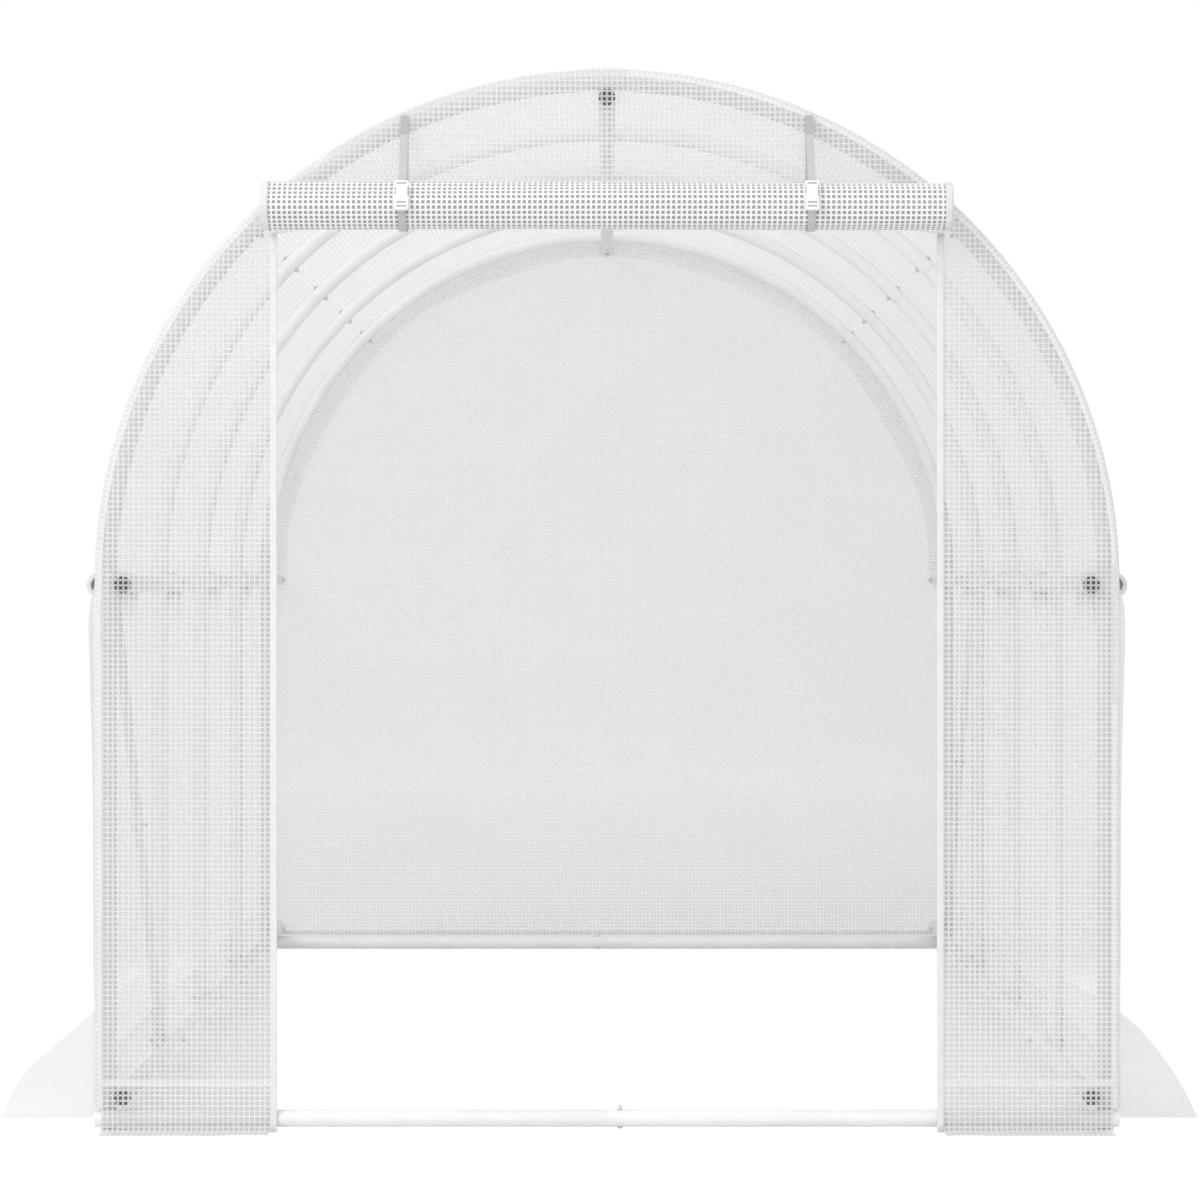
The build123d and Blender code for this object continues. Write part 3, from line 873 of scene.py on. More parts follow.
class GREENHOUSE_OT_walls(Operator):
    """Hangs the side film with its window openings, screens and rolled window covers"""

    bl_idname = "greenhouse.walls"
    bl_label = "Side walls"

    def execute(self, context):
        sag = context.scene.greenhouse_film.sag
        seam = 0.015
        screen_low, screen_high = low("left_window_screens"), high("left_window_screens")
        bottom, top = screen_low.z + seam, screen_high.z - seam
        half_width = BAY_MIDDLES[0] - screen_low.y - seam
        reach = half_width + seam
        ys = {-PANEL_FACE, PANEL_FACE}
        for bay_middle in BAY_MIDDLES:
            ys |= {bay_middle - half_width, bay_middle + half_width}
        marks = sorted(ys)
        along = [marks[0]]
        for start, end in zip(marks, marks[1:]):
            along += lines(start, end, 0.03)[1:]
        up = lines(WALL_BOTTOM, bottom, 0.035) + lines(bottom, top, 0.035)[1:] + lines(top, SPRING, 0.012)[1:]

        def in_window(point):
            return bottom < point.z < top and any(abs(point.y - y) < half_width for y in BAY_MIDDLES)

        for side_name, side in SIDES:

            def place(y, z, side=side):
                return side * wall_offset(y, z, sag), y, z, y, z

            wall = film_sheet(along, up, place)
            drop_faces(wall, in_window)
            cover = f"{side_name}_wall_cover"
            finish_piece(wall, f"{side_name}_wall_film", finish("Woven film"), "film", cover)
            nets, rolls, ends, ties, clips = [], [], [], [], []
            for bay_middle in BAY_MIDDLES:

                def net_place(y, z, side=side):
                    return side * (wall_offset(y, z, sag) - 0.001), y, z, y, z

                net_along = lines(bay_middle - reach, bay_middle + reach, 0.03)
                nets.append(film_sheet(net_along, lines(bottom - seam, top + seam, 0.03), net_place))
                rolls.append(self.window_roll(side_name, side, bay_middle))
                ends += self.roll_ends(side_name, bay_middle)
                for offset in (-0.1, 0.1):
                    tie, clip = self.window_tie(side_name, side, bay_middle + offset)
                    ties.append(tie)
                    clips.append(clip)
            screens = f"{side_name}_window_screens"
            net = join(nets)
            finish_piece(net, f"{side_name}_window_nets", finish("Window net"), "screen", screens)
            roll = finish_piece(
                join(rolls),
                f"{side_name}_rolled_window_covers",
                finish("Loosely rolled film"),
                "film",
                f"{side_name}_window_rolls",
            )
            ends = finish_piece(join(ends), f"{side_name}_window_roll_ends", finish("Binding tape"), "tape")
            ties = finish_piece(join(ties), f"{side_name}_window_ties", finish("Strap webbing"), "webbing")
            clips = finish_piece(join(clips), f"{side_name}_window_clips", finish("Buckle plastic"), "buckle")
        return {"FINISHED"}

    def window_roll(self, side_name, side, bay_middle):
        """A window cover rolled up on itself, with a hollow core."""
        node = f"{side_name}_window_rolls"
        at = middle(node)
        outer = (high(node).z - low(node).z) / 2
        inner, turns = outer * WINDOW_CORE, 3.6
        half = high(node).y - BAY_MIDDLES[-1]
        self.roll_width = 2 * half
        self.roll_cloth = turns * 2 * pi * (outer + inner) / 2

        def place(turn, y):
            share = turn / turns
            radius = inner + (outer - inner) * share
            angle = 2 * pi * turn * -side + pi / 2
            ripple = wander(turn, y, bay_middle, 7.0, 0.0012)
            x = at.x + (radius + ripple) * cos(angle)
            return x, y, at.z + (radius + ripple) * sin(angle), turn * 2 * pi * radius, y

        steps = lines(0, turns, 1 / 20)
        return film_sheet(steps, lines(bay_middle - half, bay_middle + half, 0.025), place)

    def roll_ends(self, side_name, bay_middle):
        """The bound ends of a rolled window cover, a light ring at each."""
        node = f"{side_name}_window_rolls"
        at = middle(node)
        outer = (high(node).z - low(node).z) / 2 - 0.0008
        half = high(node).y - BAY_MIDDLES[-1]
        rings = []
        for end in (-1, 1):

            def place(turn, share, end=end):
                radius, angle = outer * (WINDOW_CORE + (1 - WINDOW_CORE) * share), 2 * pi * turn
                y = bay_middle + end * (half - 0.001)
                return at.x + radius * cos(angle), y, at.z + radius * sin(angle), turn * 0.15, radius

            ring = film_sheet(lines(0, 1, 1 / 32), [0, 0.5, 1], place)
            shape_with(ring, "SOLIDIFY", thickness=0.0018, offset=0)
            rings.append(ring)
        return rings

    def window_tie(self, side_name, side, y_place):
        """A narrow strap round a rolled window cover, its hanging tail and the clip on it."""
        node = f"{side_name}_window_rolls"
        at = middle(node)
        outer = (high(node).z - low(node).z) / 2 + 0.0012
        half = 0.006
        tail = 0.055
        round_it = 2 * pi * outer

        def place(length, across):
            y = y_place + across
            if length <= round_it:
                angle = -pi / 2 + length / outer
                return at.x + side * outer * cos(angle), y, at.z + outer * sin(angle), across, length
            drop = length - round_it
            return at.x + side * (0.002 + 0.05 * drop), y, at.z - outer - drop, across, length

        lengths = lines(0, round_it, 0.006) + lines(round_it, round_it + tail, 0.01)[1:]
        tie = film_sheet(lengths, [-half, 0, half], place)
        shape_with(tie, "SOLIDIFY", thickness=0.0009, offset=0)
        clip_x = at.x + side * 0.003
        clip = block((0.007, 0.018, 0.014), (clip_x, y_place, at.z - outer - 0.014), 0.0015)
        for drop in (0.0105, 0.0175):
            cut(clip, (0.02, 0.012, 0.0025), (clip_x, y_place, at.z - outer - drop))
        smooth(clip, 30)
        return tie, clip


def under_arch(x):
    """Height of the arch over a place across the end."""
    return SPRING + sqrt(max(0.0, PANEL_REACH**2 - x * x))


def across_to_edge(start, end, step):
    """Lines across an end panel, closer together towards the side, where the arch falls steeply."""
    first, last = np.arcsin(start / PANEL_REACH), np.arcsin(min(1.0, end / PANEL_REACH))
    return [PANEL_REACH * sin(turn) for turn in lines(first, last, step / PANEL_REACH)]


def end_panel(across, bottom, top, y_place):
    """A flat end panel, its lines spaced evenly from bottom(x) to top(x)."""

    def place(x, share):
        z = bottom(x) + (top(x) - bottom(x)) * share
        return x, y_place(x, z), z, x, z

    return film_sheet(across, lines(0, 1, 0.025), place)


class GREENHOUSE_OT_end_panels(Operator):
    """Sews in the front panels, the gable over the door and the rear panel"""

    bl_idname = "greenhouse.end_panels"
    bl_label = "End panels"

    def execute(self, context):
        film = finish("Woven film")

        def front(x, z):
            return -PANEL_FACE + 0.0008 + wander(x, 2.0, z, 2.2, 0.003)

        for side_name, side in SIDES:
            across = [side * x for x in across_to_edge(DOOR_HALF, COVER_FACE, 0.03)]
            panel = end_panel(across, lambda x: PANEL_BOTTOM, under_arch, front)
            finish_piece(panel, f"front_film_{side_name}", film, "film", f"front_panel_{side_name}")
            self.declare(panel, across, lambda x: PANEL_BOTTOM)
        rise = low("front_gable").z
        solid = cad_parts["front_gable"].data.vertices
        crown = max(vertex.co.z for vertex in solid if vertex.co.z < under_arch(vertex.co.x) - 0.03)
        depth = crown - rise

        def door_arch(x):
            return DOOR_TOP + depth * (1 - (x / DOOR_HALF) ** 2)

        across = lines(-DOOR_HALF, DOOR_HALF, 0.03)
        gable = end_panel(across, door_arch, under_arch, front)
        finish_piece(gable, "gable_film", film, "film", "front_gable")
        self.declare(gable, across, door_arch)

        def rear(x, z):
            return PANEL_FACE - 0.0008 + wander(x, 5.0, z, 2.2, 0.003)

        half = across_to_edge(0, COVER_FACE, 0.03)
        across = [-x for x in reversed(half[1:])] + half
        panel = end_panel(across, lambda x: PANEL_BOTTOM, under_arch, rear)
        finish_piece(panel, "rear_film", film, "film", "rear_panel")
        self.declare(panel, across, lambda x: PANEL_BOTTOM)
        return {"FINISHED"}

    def declare(self, panel, across, bottom):
        heights = [under_arch(x) - bottom(x) for x in across]
        steps = zip(across, across[1:], heights, heights[1:])
        area = sum(abs(end - start) * (first + last) / 2 for start, end, first, last in steps)
        tallest = max(under_arch(x) for x in across) - min(bottom(x) for x in across)


class GREENHOUSE_OT_skirts(Operator):
    """Lays the ground skirts along the sides and the ends"""

    bl_idname = "greenhouse.skirts"
    bl_label = "Ground skirts"

    def execute(self, context):
        for side_name, side in SIDES:
            self.side_skirt(side_name, side, finish("Woven film"))
        for node, facing in (("front_skirt_left", -1), ("front_skirt_right", -1), ("rear_skirt", 1)):
            self.end_skirt(node, facing, finish("Woven film"))
        return {"FINISHED"}

    def side_skirt(self, side_name, side, film):
        node = f"{side_name}_skirt"
        end = high(node).y
        seam = high(node).z
        bend = 0.020
        wall = COVER_FACE + 0.0008
        taper, run, bow = (0.060, 0.685, 1.3) if side < 0 else (0.090, 1.385, 1.55)

        def edge(y):
            past = max(0.0, abs(y) - (end - run))
            return SKIRT_EDGE - 0.001 - taper * (past / run) ** bow

        def place(y, share):
            up, turn, out = seam - bend, pi / 2 * bend, edge(y) - wall - bend
            length = share * (up + turn + out)
            if length < up:
                x, z = wall + 0.004 * (length / up), seam - length
            elif length < up + turn:
                angle = (length - up) / bend
                x, z = wall + 0.004 + (bend - 0.004) * (1 - cos(angle)), bend - (bend - 0.001) * sin(angle)
            else:
                x, z = wall + bend + length - up - turn, 0.001
                z += max(0.0, wander(x, y, side, 7.0, 0.004)) + max(0.0, wander(x, y, side, 2.3, 0.006))
            return side * x, y, z, y, seam - length

        skirt = film_sheet(lines(-end, end, 0.03), lines(0, 1, 0.02), place)
        finish_piece(skirt, f"{side_name}_skirt_film", film, "film", node)
        skirt.data.materials.append(finish("Skirt film"))
        for face in skirt.data.polygons:
            face.material_index = 1 if abs(face.center.x) > wall + bend * 0.7 else 0

    def panel_of(self, node):
        """The end panel that a skirt is sewn to."""
        panels = {"front_skirt_left": "front_film_left", "front_skirt_right": "front_film_right"}
        return panels.get(node, "rear_film")

    def end_skirt(self, node, facing, film):
        start, stop = low(node).x, high(node).x
        seam = high(node).z
        wall = PANEL_FACE + 0.0008
        reach = (high(node).y if facing > 0 else -low(node).y) - 0.001
        bend = 0.008
        up, turn, out = seam - bend, pi / 2 * bend, reach - wall - bend

        def place(x, share):
            length = share * (up + turn + out)
            if length < up:
                y, z = wall, seam - length
            elif length < up + turn:
                angle = (length - up) / bend
                y, z = wall + bend * (1 - cos(angle)), bend - (bend - 0.001) * sin(angle)
            else:
                y, z = wall + bend + length - up - turn, 0.001
                z += max(0.0, wander(x, y, facing, 8.0, 0.004))
            return x, facing * y, z, x, seam - length

        skirt = film_sheet(lines(start, stop, 0.03), lines(0, 1, 0.06), place)
        finish_piece(skirt, f"{node}_film", film, "film", node)


def round_the_end(reach):
    """Rows of x, z, outward x, outward z and length: up one side of an end, over the arch and down."""
    rows = [(-reach, z, -1.0, 0.0) for z in lines(HEM_BOTTOM, SPRING, 0.05)]
    for angle in lines(pi, 0, 0.03)[1:]:
        rows.append((reach * cos(angle), SPRING + reach * sin(angle), cos(angle), sin(angle)))
    rows += [(reach, z, 1.0, 0.0) for z in lines(SPRING, HEM_BOTTOM, 0.05)[1:]]
    length, path = 0.0, []
    for number, row in enumerate(rows):
        if number:
            length += hypot(row[0] - rows[number - 1][0], row[1] - rows[number - 1][1])
        path.append((*row, length))
    return path


class GREENHOUSE_OT_hems(Operator):
    """Welds the hems round both ends and along the tops of the skirts"""

    bl_idname = "greenhouse.hems"
    bl_label = "Hems"

    def execute(self, context):
        for end, facing in (("front", -1), ("rear", 1)):
            self.end_hem(end, facing)
        self.rear_lining()
        for node, facing in (("front_skirt_left", -1), ("front_skirt_right", -1), ("rear_skirt", 1)):
            self.skirt_hem(node, facing)
        for side_name, side in SIDES:
            self.side_hem(side_name, side)
        return {"FINISHED"}

    def end_hem(self, end, facing):
        """A band folded over the corner between the end panel and the roof."""
        face, back, corner = 0.014, 0.012, COVER_FACE + 0.0004
        path = round_the_end(corner)

        def place(index, across):
            x, z, out_x, out_z, length = path[int(index)]
            if across < 0:
                lift, depth = across, 0.0
            else:
                lift, depth = 0.0, across
            lift += 0.0022 * exp(-(((z - SPRING) / 0.3) ** 2)) if z < SPRING else 0.0
            y = facing * (PANEL_FACE + 0.0003 - depth)
            return x + out_x * lift, y, z + out_z * lift, length, across

        hem = film_sheet(list(range(len(path))), [-face, -face / 2, 0, back / 2, back], place)
        finish_piece(hem, f"{end}_hem", finish("Seam film"), "film")

    def rear_lining(self):
        """The loose inner edge of the roof film, turned in over the rear panel."""
        outer, depth, end = COVER_FACE - 0.003, 0.072, 0.02

        def place(angle, share):
            inner = outer - depth + 0.006 * sin(9 * angle) + wander(angle, 4.0, 0.0, 3.0, 0.008)
            radius = outer + (inner - outer) * share
            y = PANEL_FACE - 0.005 - 0.004 * share - wander(angle, share, 2.0, 4.0, 0.003)
            return radius * cos(angle), y, SPRING + radius * sin(angle), outer * angle, radius

        lining = film_sheet(lines(end, pi - end, 0.02), lines(0, 1, 0.2), place)
        finish_piece(lining, "rear_lining", finish("Lining film"), "film")

    def skirt_hem(self, node, facing):
        start, stop, top = low(node).x, high(node).x, high(node).z
        deep = 0.013 if facing < 0 else 0.010

        def place(x, z):
            return x, facing * (PANEL_FACE + 0.0012), z + wander(x, 6.0, facing, 9.0, 0.0012), x, z

        hem = film_sheet(lines(start, stop, 0.03), [top - deep, top - deep / 2, top], place)
        finish_piece(hem, f"{node}_hem", finish("Seam film"), "film")

    def side_hem(self, side_name, side):
        node = f"{side_name}_skirt"
        end, top, deep = high(node).y, high(node).z, 0.014
        ripple, ripple_length = 0.0025, 0.19

        def place(y, z):
            scallop = ripple * sin(2 * pi * y / ripple_length)
            return side * (COVER_FACE + 0.0042), y, z + scallop, y, z

        hem = film_sheet(lines(-end, end, 0.02), [top - deep, top - deep / 2, top], place)
        finish_piece(hem, f"{node}_hem", finish("Lining film"), "film")


# Door
class GREENHOUSE_OT_zips(Operator):
    """Sews the zip tapes and their teeth along the doorway"""

    bl_idname = "greenhouse.zips"
    bl_label = "Zip tapes"

    def execute(self, context):
        for side_name, side in SIDES:
            node = f"zip_tape_{side_name}"
            first, last = low(node), high(node)
            depth = last.y - first.y

            def place(x, z, first=first):
                return x, first.y + 0.0006, z, x, z

            tape = film_sheet(lines(first.x, last.x, 0.0035), lines(first.z, last.z, 0.02), place)
            shape_with(tape, "SOLIDIFY", thickness=0.001, offset=0)
            finish_piece(tape, f"{node}_strip", finish("Binding tape"), "tape", node)
            inner = side * DOOR_HALF
            pitch, margin = 0.003, 0.002
            seat = (inner + side * 0.0022, (first.y + last.y) / 2, first.z + margin)
            tooth = block((0.0036, depth, 0.0016), seat, 0.0003, 1)
            count = int((last.z - first.z - 2 * margin) / pitch)
            shape_with(
                tooth,
                "ARRAY",
                count=count,
                use_relative_offset=False,
                use_constant_offset=True,
                constant_offset_displace=(0, 0, pitch),
            )
            finish_piece(tooth, f"{node}_teeth", finish("Buckle plastic"), "tape")
        return {"FINISHED"}


class GREENHOUSE_OT_door_roll(Operator):
    """Rolls the door up under the gable and binds its two ends"""

    bl_idname = "greenhouse.door_roll"
    bl_label = "Door roll"

    def execute(self, context):
        half = high("door_roll").x
        inner, outer, turns = ROLL_RADIUS * 0.38, ROLL_RADIUS - 0.0008, 8.5

        def spiral(turn, x, lift):
            radius = inner + (outer - inner) * turn / turns
            angle = pi / 2 + 2 * pi * (turns - turn) + 0.2
            crease = 0.0012 * sin(5 * angle + 3 * x) * exp(-(((turn - turns) / 1.2) ** 2))
            radius += lift + crease + wander(x, angle, turn, 1.6, 0.0016)
            return ROLL_MIDDLE.y + radius * cos(angle), ROLL_MIDDLE.z + radius * sin(angle), radius

        def place(turn, x):
            y, z, radius = spiral(turn, x, 0.0)
            return x, y, z, x, turn * 2 * pi * (inner + (outer - inner) * turn / turns / 2)

        roll = film_sheet(lines(0, turns, 1 / 40), lines(-half, half, 0.03), place)
        finish_piece(roll, "rolled_door", finish("Rolled film"), "film", "door_roll")
        bands = []
        for side in (-1, 1):

            def band_place(turn, x):
                y, z, radius = spiral(turn, x, 0.0012)
                return x, y, z, x, turn * 2 * pi * radius

            edges = sorted((side * (half - 0.0136), side * (half + 0.0004)))
            bands.append(film_sheet(lines(turns - 1.02, turns, 1 / 48), lines(*edges, 0.004), band_place))

            def face_place(turn, share, side=side):
                radius, angle = inner + (outer - 0.0012 - inner) * share, 2 * pi * turn
                y, z = ROLL_MIDDLE.y + radius * cos(angle), ROLL_MIDDLE.z + radius * sin(angle)
                return side * (half - 0.0006), y, z, turn * 0.15, radius

            bands.append(film_sheet(lines(0, 1, 1 / 48), [0, 0.5, 1], face_place))
        bands = finish_piece(join(bands), "door_roll_bindings", finish("Binding tape"), "tape")
        shape_with(bands, "SOLIDIFY", thickness=0.0006, offset=0)
        return {"FINISHED"}


def belt(big_centre, big_radius, small_centre, small_radius, step):
    """Points of a closed belt round two circles, in their plane, with the length so far."""
    reach = Vector(small_centre) - Vector(big_centre)
    lead = atan2(reach.y, reach.x)
    touch = acos((big_radius - small_radius) / reach.length)
    corners = []
    for centre, radius, turns in (
        (big_centre, big_radius, lines(touch, 2 * pi - touch, step / big_radius)),
        (small_centre, small_radius, lines(-touch, touch, 0.4)),
    ):
        for turn in turns:
            corners.append((centre[0] + radius * cos(lead + turn), centre[1] + radius * sin(lead + turn)))
    corners.append(corners[0])
    points, length = [], 0.0
    for start, end in zip(corners, corners[1:]):
        span = hypot(end[0] - start[0], end[1] - start[1])
        for share in lines(0, 1, min(1.0, step / max(span, 1e-6)))[:-1]:
            y = start[0] + (end[0] - start[0]) * share
            z = start[1] + (end[1] - start[1]) * share
            points.append((y, z, length + span * share))
        length += span
    points.append((*corners[-1], length))
    return points


class GREENHOUSE_OT_door_straps(Operator):
    """Loops the two webbing straps round the door roll and closes them with buckles"""

    bl_idname = "greenhouse.door_straps"
    bl_label = "Door straps"
    webbing_slot = (0.0185, 0.03, 0.003)

    def execute(self, context):
        first, last = low("door_straps"), high("door_straps")
        thickness, clearance, bend = 0.0015, 0.0003, 0.002
        loop = ROLL_RADIUS + clearance + thickness / 2
        top = (-(PANEL_FACE + clearance + thickness + bend), last.z - thickness - bend)
        path = belt((ROLL_MIDDLE.y, ROLL_MIDDLE.z), loop, top, bend + thickness / 2, 0.006)
        half = 0.0075
        spacing = last.x - half
        straps = []
        for side in (-1, 1):

            def place(index, across, side=side):
                y, z, length = path[int(index)]
                return side * spacing + across, y, z, across, length

            strap = film_sheet(list(range(len(path))), [-half, -half / 2, 0, half / 2, half], place)
            pick(strap)
            bpy.ops.object.mode_set(mode="EDIT")
            bpy.ops.mesh.select_all(action="SELECT")
            bpy.ops.mesh.remove_doubles(threshold=0.0002)
            bpy.ops.mesh.normals_make_consistent(inside=False)
            bpy.ops.object.mode_set(mode="OBJECT")
            shape_with(strap, "SOLIDIFY", thickness=0.0012, offset=0)
            smooth(strap, 50)
            straps.append(strap)
        finish_piece(join(straps), "door_strap_loops", finish("Strap webbing"), "webbing", "door_straps")
        self.anchors(spacing, half, last.z, path)
        self.buckles(spacing)
        return {"FINISHED"}

    def anchors(self, spacing, half, top, path):
        """A second layer of webbing over the top of each strap, where it is sewn to the gable, darkened as
        painted shade of the strap's top in shadow behind the film.
        """
        sewn = 0.041
        front = max((row for row in path if row[1] > top - 0.006), key=lambda row: -row[0])
        low_row = min((row for row in path if row[0] < front[0]), key=lambda row: abs(row[1] - top + sewn))
        made = []
        for side in (-1, 1):

            def place(x, share):
                y = front[0] + (low_row[0] - front[0]) * share - 0.0012
                z = front[1] + (low_row[1] - front[1]) * share
                return side * spacing + x, y, z, x, share * sewn

            anchor = film_sheet([-half, -half / 2, 0, half / 2, half], lines(0, 1, 0.2), place)
            shape_with(anchor, "SOLIDIFY", thickness=0.0008, offset=0)
            made.append(anchor)
        anchors = finish_piece(join(made), "door_strap_anchors", finish("Anchor webbing"), "webbing")
        smooth(anchors, 40)

    def buckles(self, spacing):
        """Side-release buckles that lean back round the roll, each a socket and a plug that snaps into it."""
        stand = ROLL_RADIUS + 0.0021
        sockets, plugs = [], []
        for side in (-1, 1):
            for made, part in ((sockets, self.socket()), (plugs, self.plug())):
                part.rotation_euler = (-BUCKLE_LEAN, 0, 0)
                part.location = (
                    side * spacing,
                    ROLL_MIDDLE.y - stand * cos(BUCKLE_LEAN),
                    ROLL_MIDDLE.z + stand * sin(BUCKLE_LEAN),
                )
                made.append(part)
        for made, name, node in (
            (sockets, "door_buckle_sockets", "door_buckles"),
            (plugs, "door_plugs", "door_buckle_plugs"),
        ):
            piece = join(made)
            shape_with(piece, "BEVEL", width=0.0005, segments=2, angle_limit=radians(40))
            smooth(piece, 35)
            finish_piece(piece, name, finish("Buckle plastic"), "buckle", node)

    def plate(self, outline, thickness, back):
        """An upright plate facing -Y, from (height, left, right) rows in millimetres."""
        heights, lefts, rights = (np.array(values) / 1000 for values in zip(*outline))

        def place(share, z):
            left, right = np.interp(z, heights, lefts), np.interp(z, heights, rights)
            return left + (right - left) * share, -back, z, 0, 0

        body = film_sheet([0, 0.5, 1], list(heights), place)
        shape_with(body, "SOLIDIFY", thickness=thickness, offset=1)
        return body

    def socket(self):
        """The half with the pocket, its side windows and two slots for the webbing."""
        half_widths = (
            (-30, 10), (-29.2, 12), (-27.5, 13), (-11, 13), (-7, 12.6),
            (-3, 11.5), (1, 11), (11, 11), (12, 10.4),
        )
        body = self.plate([(z, -half, half) for z, half in half_widths], 0.009, 0.0)
        for height in (-0.023, -0.015):
            cut(body, self.webbing_slot, (0, -0.0045, height))
        cut(body, (0.0184, 0.0054, 0.0232), (0, -0.0045, 0.0006))
        cut(body, (0.030, 0.0054, 0.012), (0, -0.0045, -0.005))
        return body

    def plug(self):
        """The half that snaps in: a head with its slot, a guide and two prongs."""
        half_widths = (
            (12.3, 11), (15, 10.6), (17.5, 11), (19.4, 12.6), (21.5, 13.7),
            (24.5, 14), (27.4, 13.6), (29.2, 12.2), (30, 10),
        )
        guide = ((-8, -2.2, 2.2), (6, -2.3, 2.3), (6.1, -8.9, 8.9), (12.6, -8.9, 8.9))
        prong = (
            (-10.7, 7.6, 9.2), (-8.6, 6.9, 14.25), (-6.2, 6.4, 14.25), (-2, 5.9, 12.4),
            (0.7, 5.5, 11), (0.8, 5.5, 8.9), (6.3, 5.5, 8.9),
        )
        thickness, back = 0.0048, 0.0021
        head = self.plate([(z, -half, half) for z, half in half_widths], 0.007, 0.001)
        cut(head, self.webbing_slot, (0, -0.0045, 0.0245))
        root = self.plate(guide, thickness, back)
        right = self.plate(prong, thickness, back)
        left = self.plate([(z, -outer, -inner) for z, inner, outer in prong], thickness, back)
        return join([head, root, right, left])


# Studio
class GREENHOUSE_OT_stage(Operator):
    """Sets the floor, the lamps and the camera"""

    bl_idname = "greenhouse.stage"
    bl_label = "Studio"

    def execute(self, context):
        scene = context.scene
        clear_selection()
        bpy.ops.mesh.primitive_plane_add(size=60, location=(0, 0, 0))
        floor = bpy.context.active_object
        floor.name = "studio_floor"
        paint = bpy.data.materials.new("Studio floor")
        paint.use_nodes = True
        tree = paint.node_tree
        tree.nodes.clear()
        matt = add_node(tree, "ShaderNodeBsdfDiffuse", Color=(0.86, 0.86, 0.86, 1))
        faint = add_node(tree, "ShaderNodeBsdfDiffuse", Color=(0.25, 0.25, 0.25, 1))
        glow = add_node(tree, "ShaderNodeEmission", Color=(1, 1, 1, 1), Strength=0.85)
        white = add_node(tree, "ShaderNodeAddShader", [(faint.outputs[0], 0), (glow.outputs[0], 1)])
        # Seen through the film the floor is a grey diffuse with an added glow, weaker near and under the
        # tunnel: painted shade of the tunnel on the floor.
        dull = add_node(tree, "ShaderNodeBsdfDiffuse", Color=(0.5, 0.5, 0.5, 1))
        painted_floor_light = add_node(tree, "ShaderNodeEmission", Color=(1, 1, 1, 1))
        place = add_node(tree, "ShaderNodeTexCoord").outputs["Object"]
        away = add_node(tree, "ShaderNodeVectorMath", [(place, 0)], operation="LENGTH").outputs["Value"]
        axes = add_node(tree, "ShaderNodeSeparateXYZ", [(place, "Vector")]).outputs
        # Painted light: the glow is raised on the floor just outside the side walls, fading with distance and
        # towards the rear.
        outside = remap(tree, calculate(tree, "ABSOLUTE", axes["X"]), 0.97, 1.0, 0.0, 1.0)
        beside = calculate(tree, "MULTIPLY", outside, remap(tree, axes["Y"], 0.6, 1.4, 1.0, 0.0))
        painted_light_beside = calculate(tree, "MULTIPLY", beside, remap(tree, away, 1.5, 6.0, 0.4, 0.0))
        strength = calculate(tree, "ADD", remap(tree, away, 2.0, 9.0, 0.29, 0.46), painted_light_beside)
        tree.links.new(strength, painted_floor_light.inputs["Strength"])
        shown_through_film = add_node(tree, "ShaderNodeAddShader", [(dull.outputs[0], 0), (painted_floor_light.outputs[0], 1)])
        self.show(tree, matt, white, shown_through_film, "ShaderNodeOutputMaterial")
        floor.data.materials.append(paint)
        self.light_world(scene)
        self.add_lamp("Key lamp", (-5.5, -6.5, 7.0), 5.0, 330)
        self.add_lamp("Top lamp", (1.0, 0.5, 9.0), 7.0, 80)
        self.add_lamp("Front lamp", (1.5, -10.0, 3.5), 5.0, 105)
        self.add_camera(scene)
        scene.view_settings.view_transform = "Standard"
        return {"FINISHED"}

    def seen_rays(self, tree):
        """Masks of the rays that show the studio, and of camera rays that came through the film."""
        path = add_node(tree, "ShaderNodeLightPath")
        film = calculate(tree, "GREATER_THAN", path.outputs["Transparent Depth"], 0.5)
        through = calculate(tree, "MULTIPLY", path.outputs["Is Camera Ray"], film)
        seen = calculate(tree, "MAXIMUM", path.outputs["Is Camera Ray"], path.outputs["Is Glossy Ray"])
        return calculate(tree, "MAXIMUM", seen, path.outputs["Is Transmission Ray"]), through

    def show(self, tree, plain, white, shown_through_film, out_kind):
        """Lights with the plain shader, shows the white one, and shows the third one to camera rays that came
        through the film.
        """
        bare, through = self.seen_rays(tree)
        mix = add_node(tree, "ShaderNodeMixShader", [(bare, 0), (plain.outputs[0], 1), (white.outputs[0], 2)])
        links = [(through, 0), (mix.outputs[0], 1), (shown_through_film.outputs[0], 2)]
        mix = add_node(tree, "ShaderNodeMixShader", links)
        out = add_node(tree, out_kind)
        tree.links.new(mix.outputs[0], out.inputs["Surface"])

    def light_world(self, scene):
        world = bpy.data.worlds.new("Studio light")
        scene.world = world
        world.use_nodes = True
        tree = world.node_tree
        tree.nodes.clear()
        soft = add_node(tree, "ShaderNodeBackground", Color=(1, 1, 1, 1), Strength=0.70)
        white = add_node(tree, "ShaderNodeBackground", Color=(1, 1, 1, 1), Strength=1.0)
        shown_through_film = add_node(tree, "ShaderNodeBackground", Color=(1, 1, 1, 1), Strength=0.82)
        self.show(tree, soft, white, shown_through_film, "ShaderNodeOutputWorld")

    def add_lamp(self, name, place, size, power):
        lamp = bpy.data.objects.new(name, bpy.data.lights.new(name, "AREA"))
        lamp.data.size = size
        lamp.data.energy = power
        lamp.location = place
        lamp.rotation_euler = (Vector((0, 0, 1)) - Vector(place)).to_track_quat("-Z", "Y").to_euler()
        bpy.context.scene.collection.objects.link(lamp)

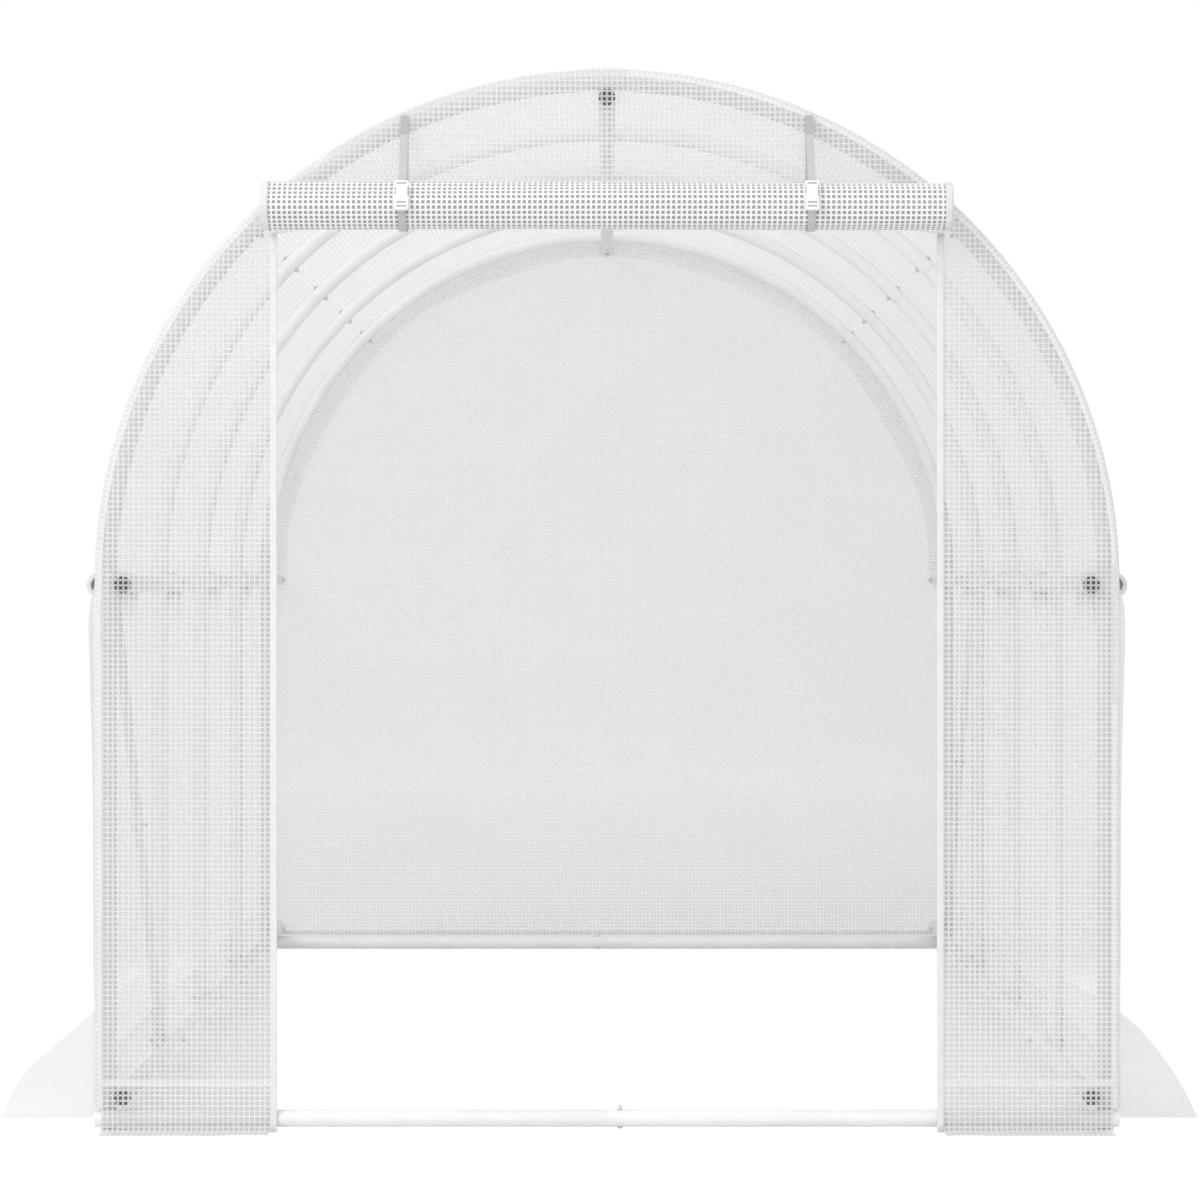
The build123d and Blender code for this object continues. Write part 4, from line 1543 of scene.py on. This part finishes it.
    def add_camera(self, scene):
        photo_size, focal_pixels, vanishing_x, vanishing_y = 1200, 3325, 607, 570
        camera = bpy.data.objects.new("Camera", bpy.data.cameras.new("Camera"))
        scene.collection.objects.link(camera)
        camera.location = (0, -8.0, 1.0905)
        camera.rotation_euler = (radians(90), 0, 0)
        camera.data.sensor_width = 36
        camera.data.lens = focal_pixels / photo_size * camera.data.sensor_width
        camera.data.shift_x = (photo_size / 2 - vanishing_x) / photo_size
        camera.data.shift_y = (vanishing_y - photo_size / 2) / photo_size
        camera.data.clip_end = 200
        scene.camera = camera


class GREENHOUSE_PT_sidebar(Panel):
    """Lists the settings and the pieces in the sidebar"""

    bl_label = "Polytunnel greenhouse"
    bl_idname = "GREENHOUSE_PT_sidebar"
    bl_space_type = "VIEW_3D"
    bl_region_type = "UI"
    bl_category = "Greenhouse"

    def draw(self, context):
        for title, settings in (
            ("Frame", context.scene.greenhouse_frame),
            ("Film", context.scene.greenhouse_film),
            ("Trim", context.scene.greenhouse_trim),
        ):
            box = self.layout.box()
            box.label(text=title)
            for name in settings.__annotations__:
                box.prop(settings, name)
        for operator in OPERATORS:
            self.layout.operator(operator.bl_idname)


SETTINGS = (FrameSettings, FilmSettings, TrimSettings)
OPERATORS = (
    GREENHOUSE_OT_stage,
    GREENHOUSE_OT_hoops,
    GREENHOUSE_OT_long_tubes,
    GREENHOUSE_OT_braces,
    GREENHOUSE_OT_bolts,
    GREENHOUSE_OT_roof_cover,
    GREENHOUSE_OT_walls,
    GREENHOUSE_OT_end_panels,
    GREENHOUSE_OT_skirts,
    GREENHOUSE_OT_hems,
    GREENHOUSE_OT_zips,
    GREENHOUSE_OT_door_straps,
    GREENHOUSE_OT_door_roll,
)
CLASSES = (*SETTINGS, *OPERATORS, GREENHOUSE_PT_sidebar)


def register():
    for cls in CLASSES:
        bpy.utils.register_class(cls)
    bpy.types.Scene.greenhouse_frame = PointerProperty(type=FrameSettings)
    bpy.types.Scene.greenhouse_film = PointerProperty(type=FilmSettings)
    bpy.types.Scene.greenhouse_trim = PointerProperty(type=TrimSettings)


def unregister():
    del bpy.types.Scene.greenhouse_trim
    del bpy.types.Scene.greenhouse_film
    del bpy.types.Scene.greenhouse_frame
    for cls in reversed(CLASSES):
        bpy.utils.unregister_class(cls)


def main():
    register()
    for operator in OPERATORS:
        group, name = operator.bl_idname.split(".")
        getattr(getattr(bpy.ops, group), name)()
    clear_selection()


if __name__ == "__main__":
    main()
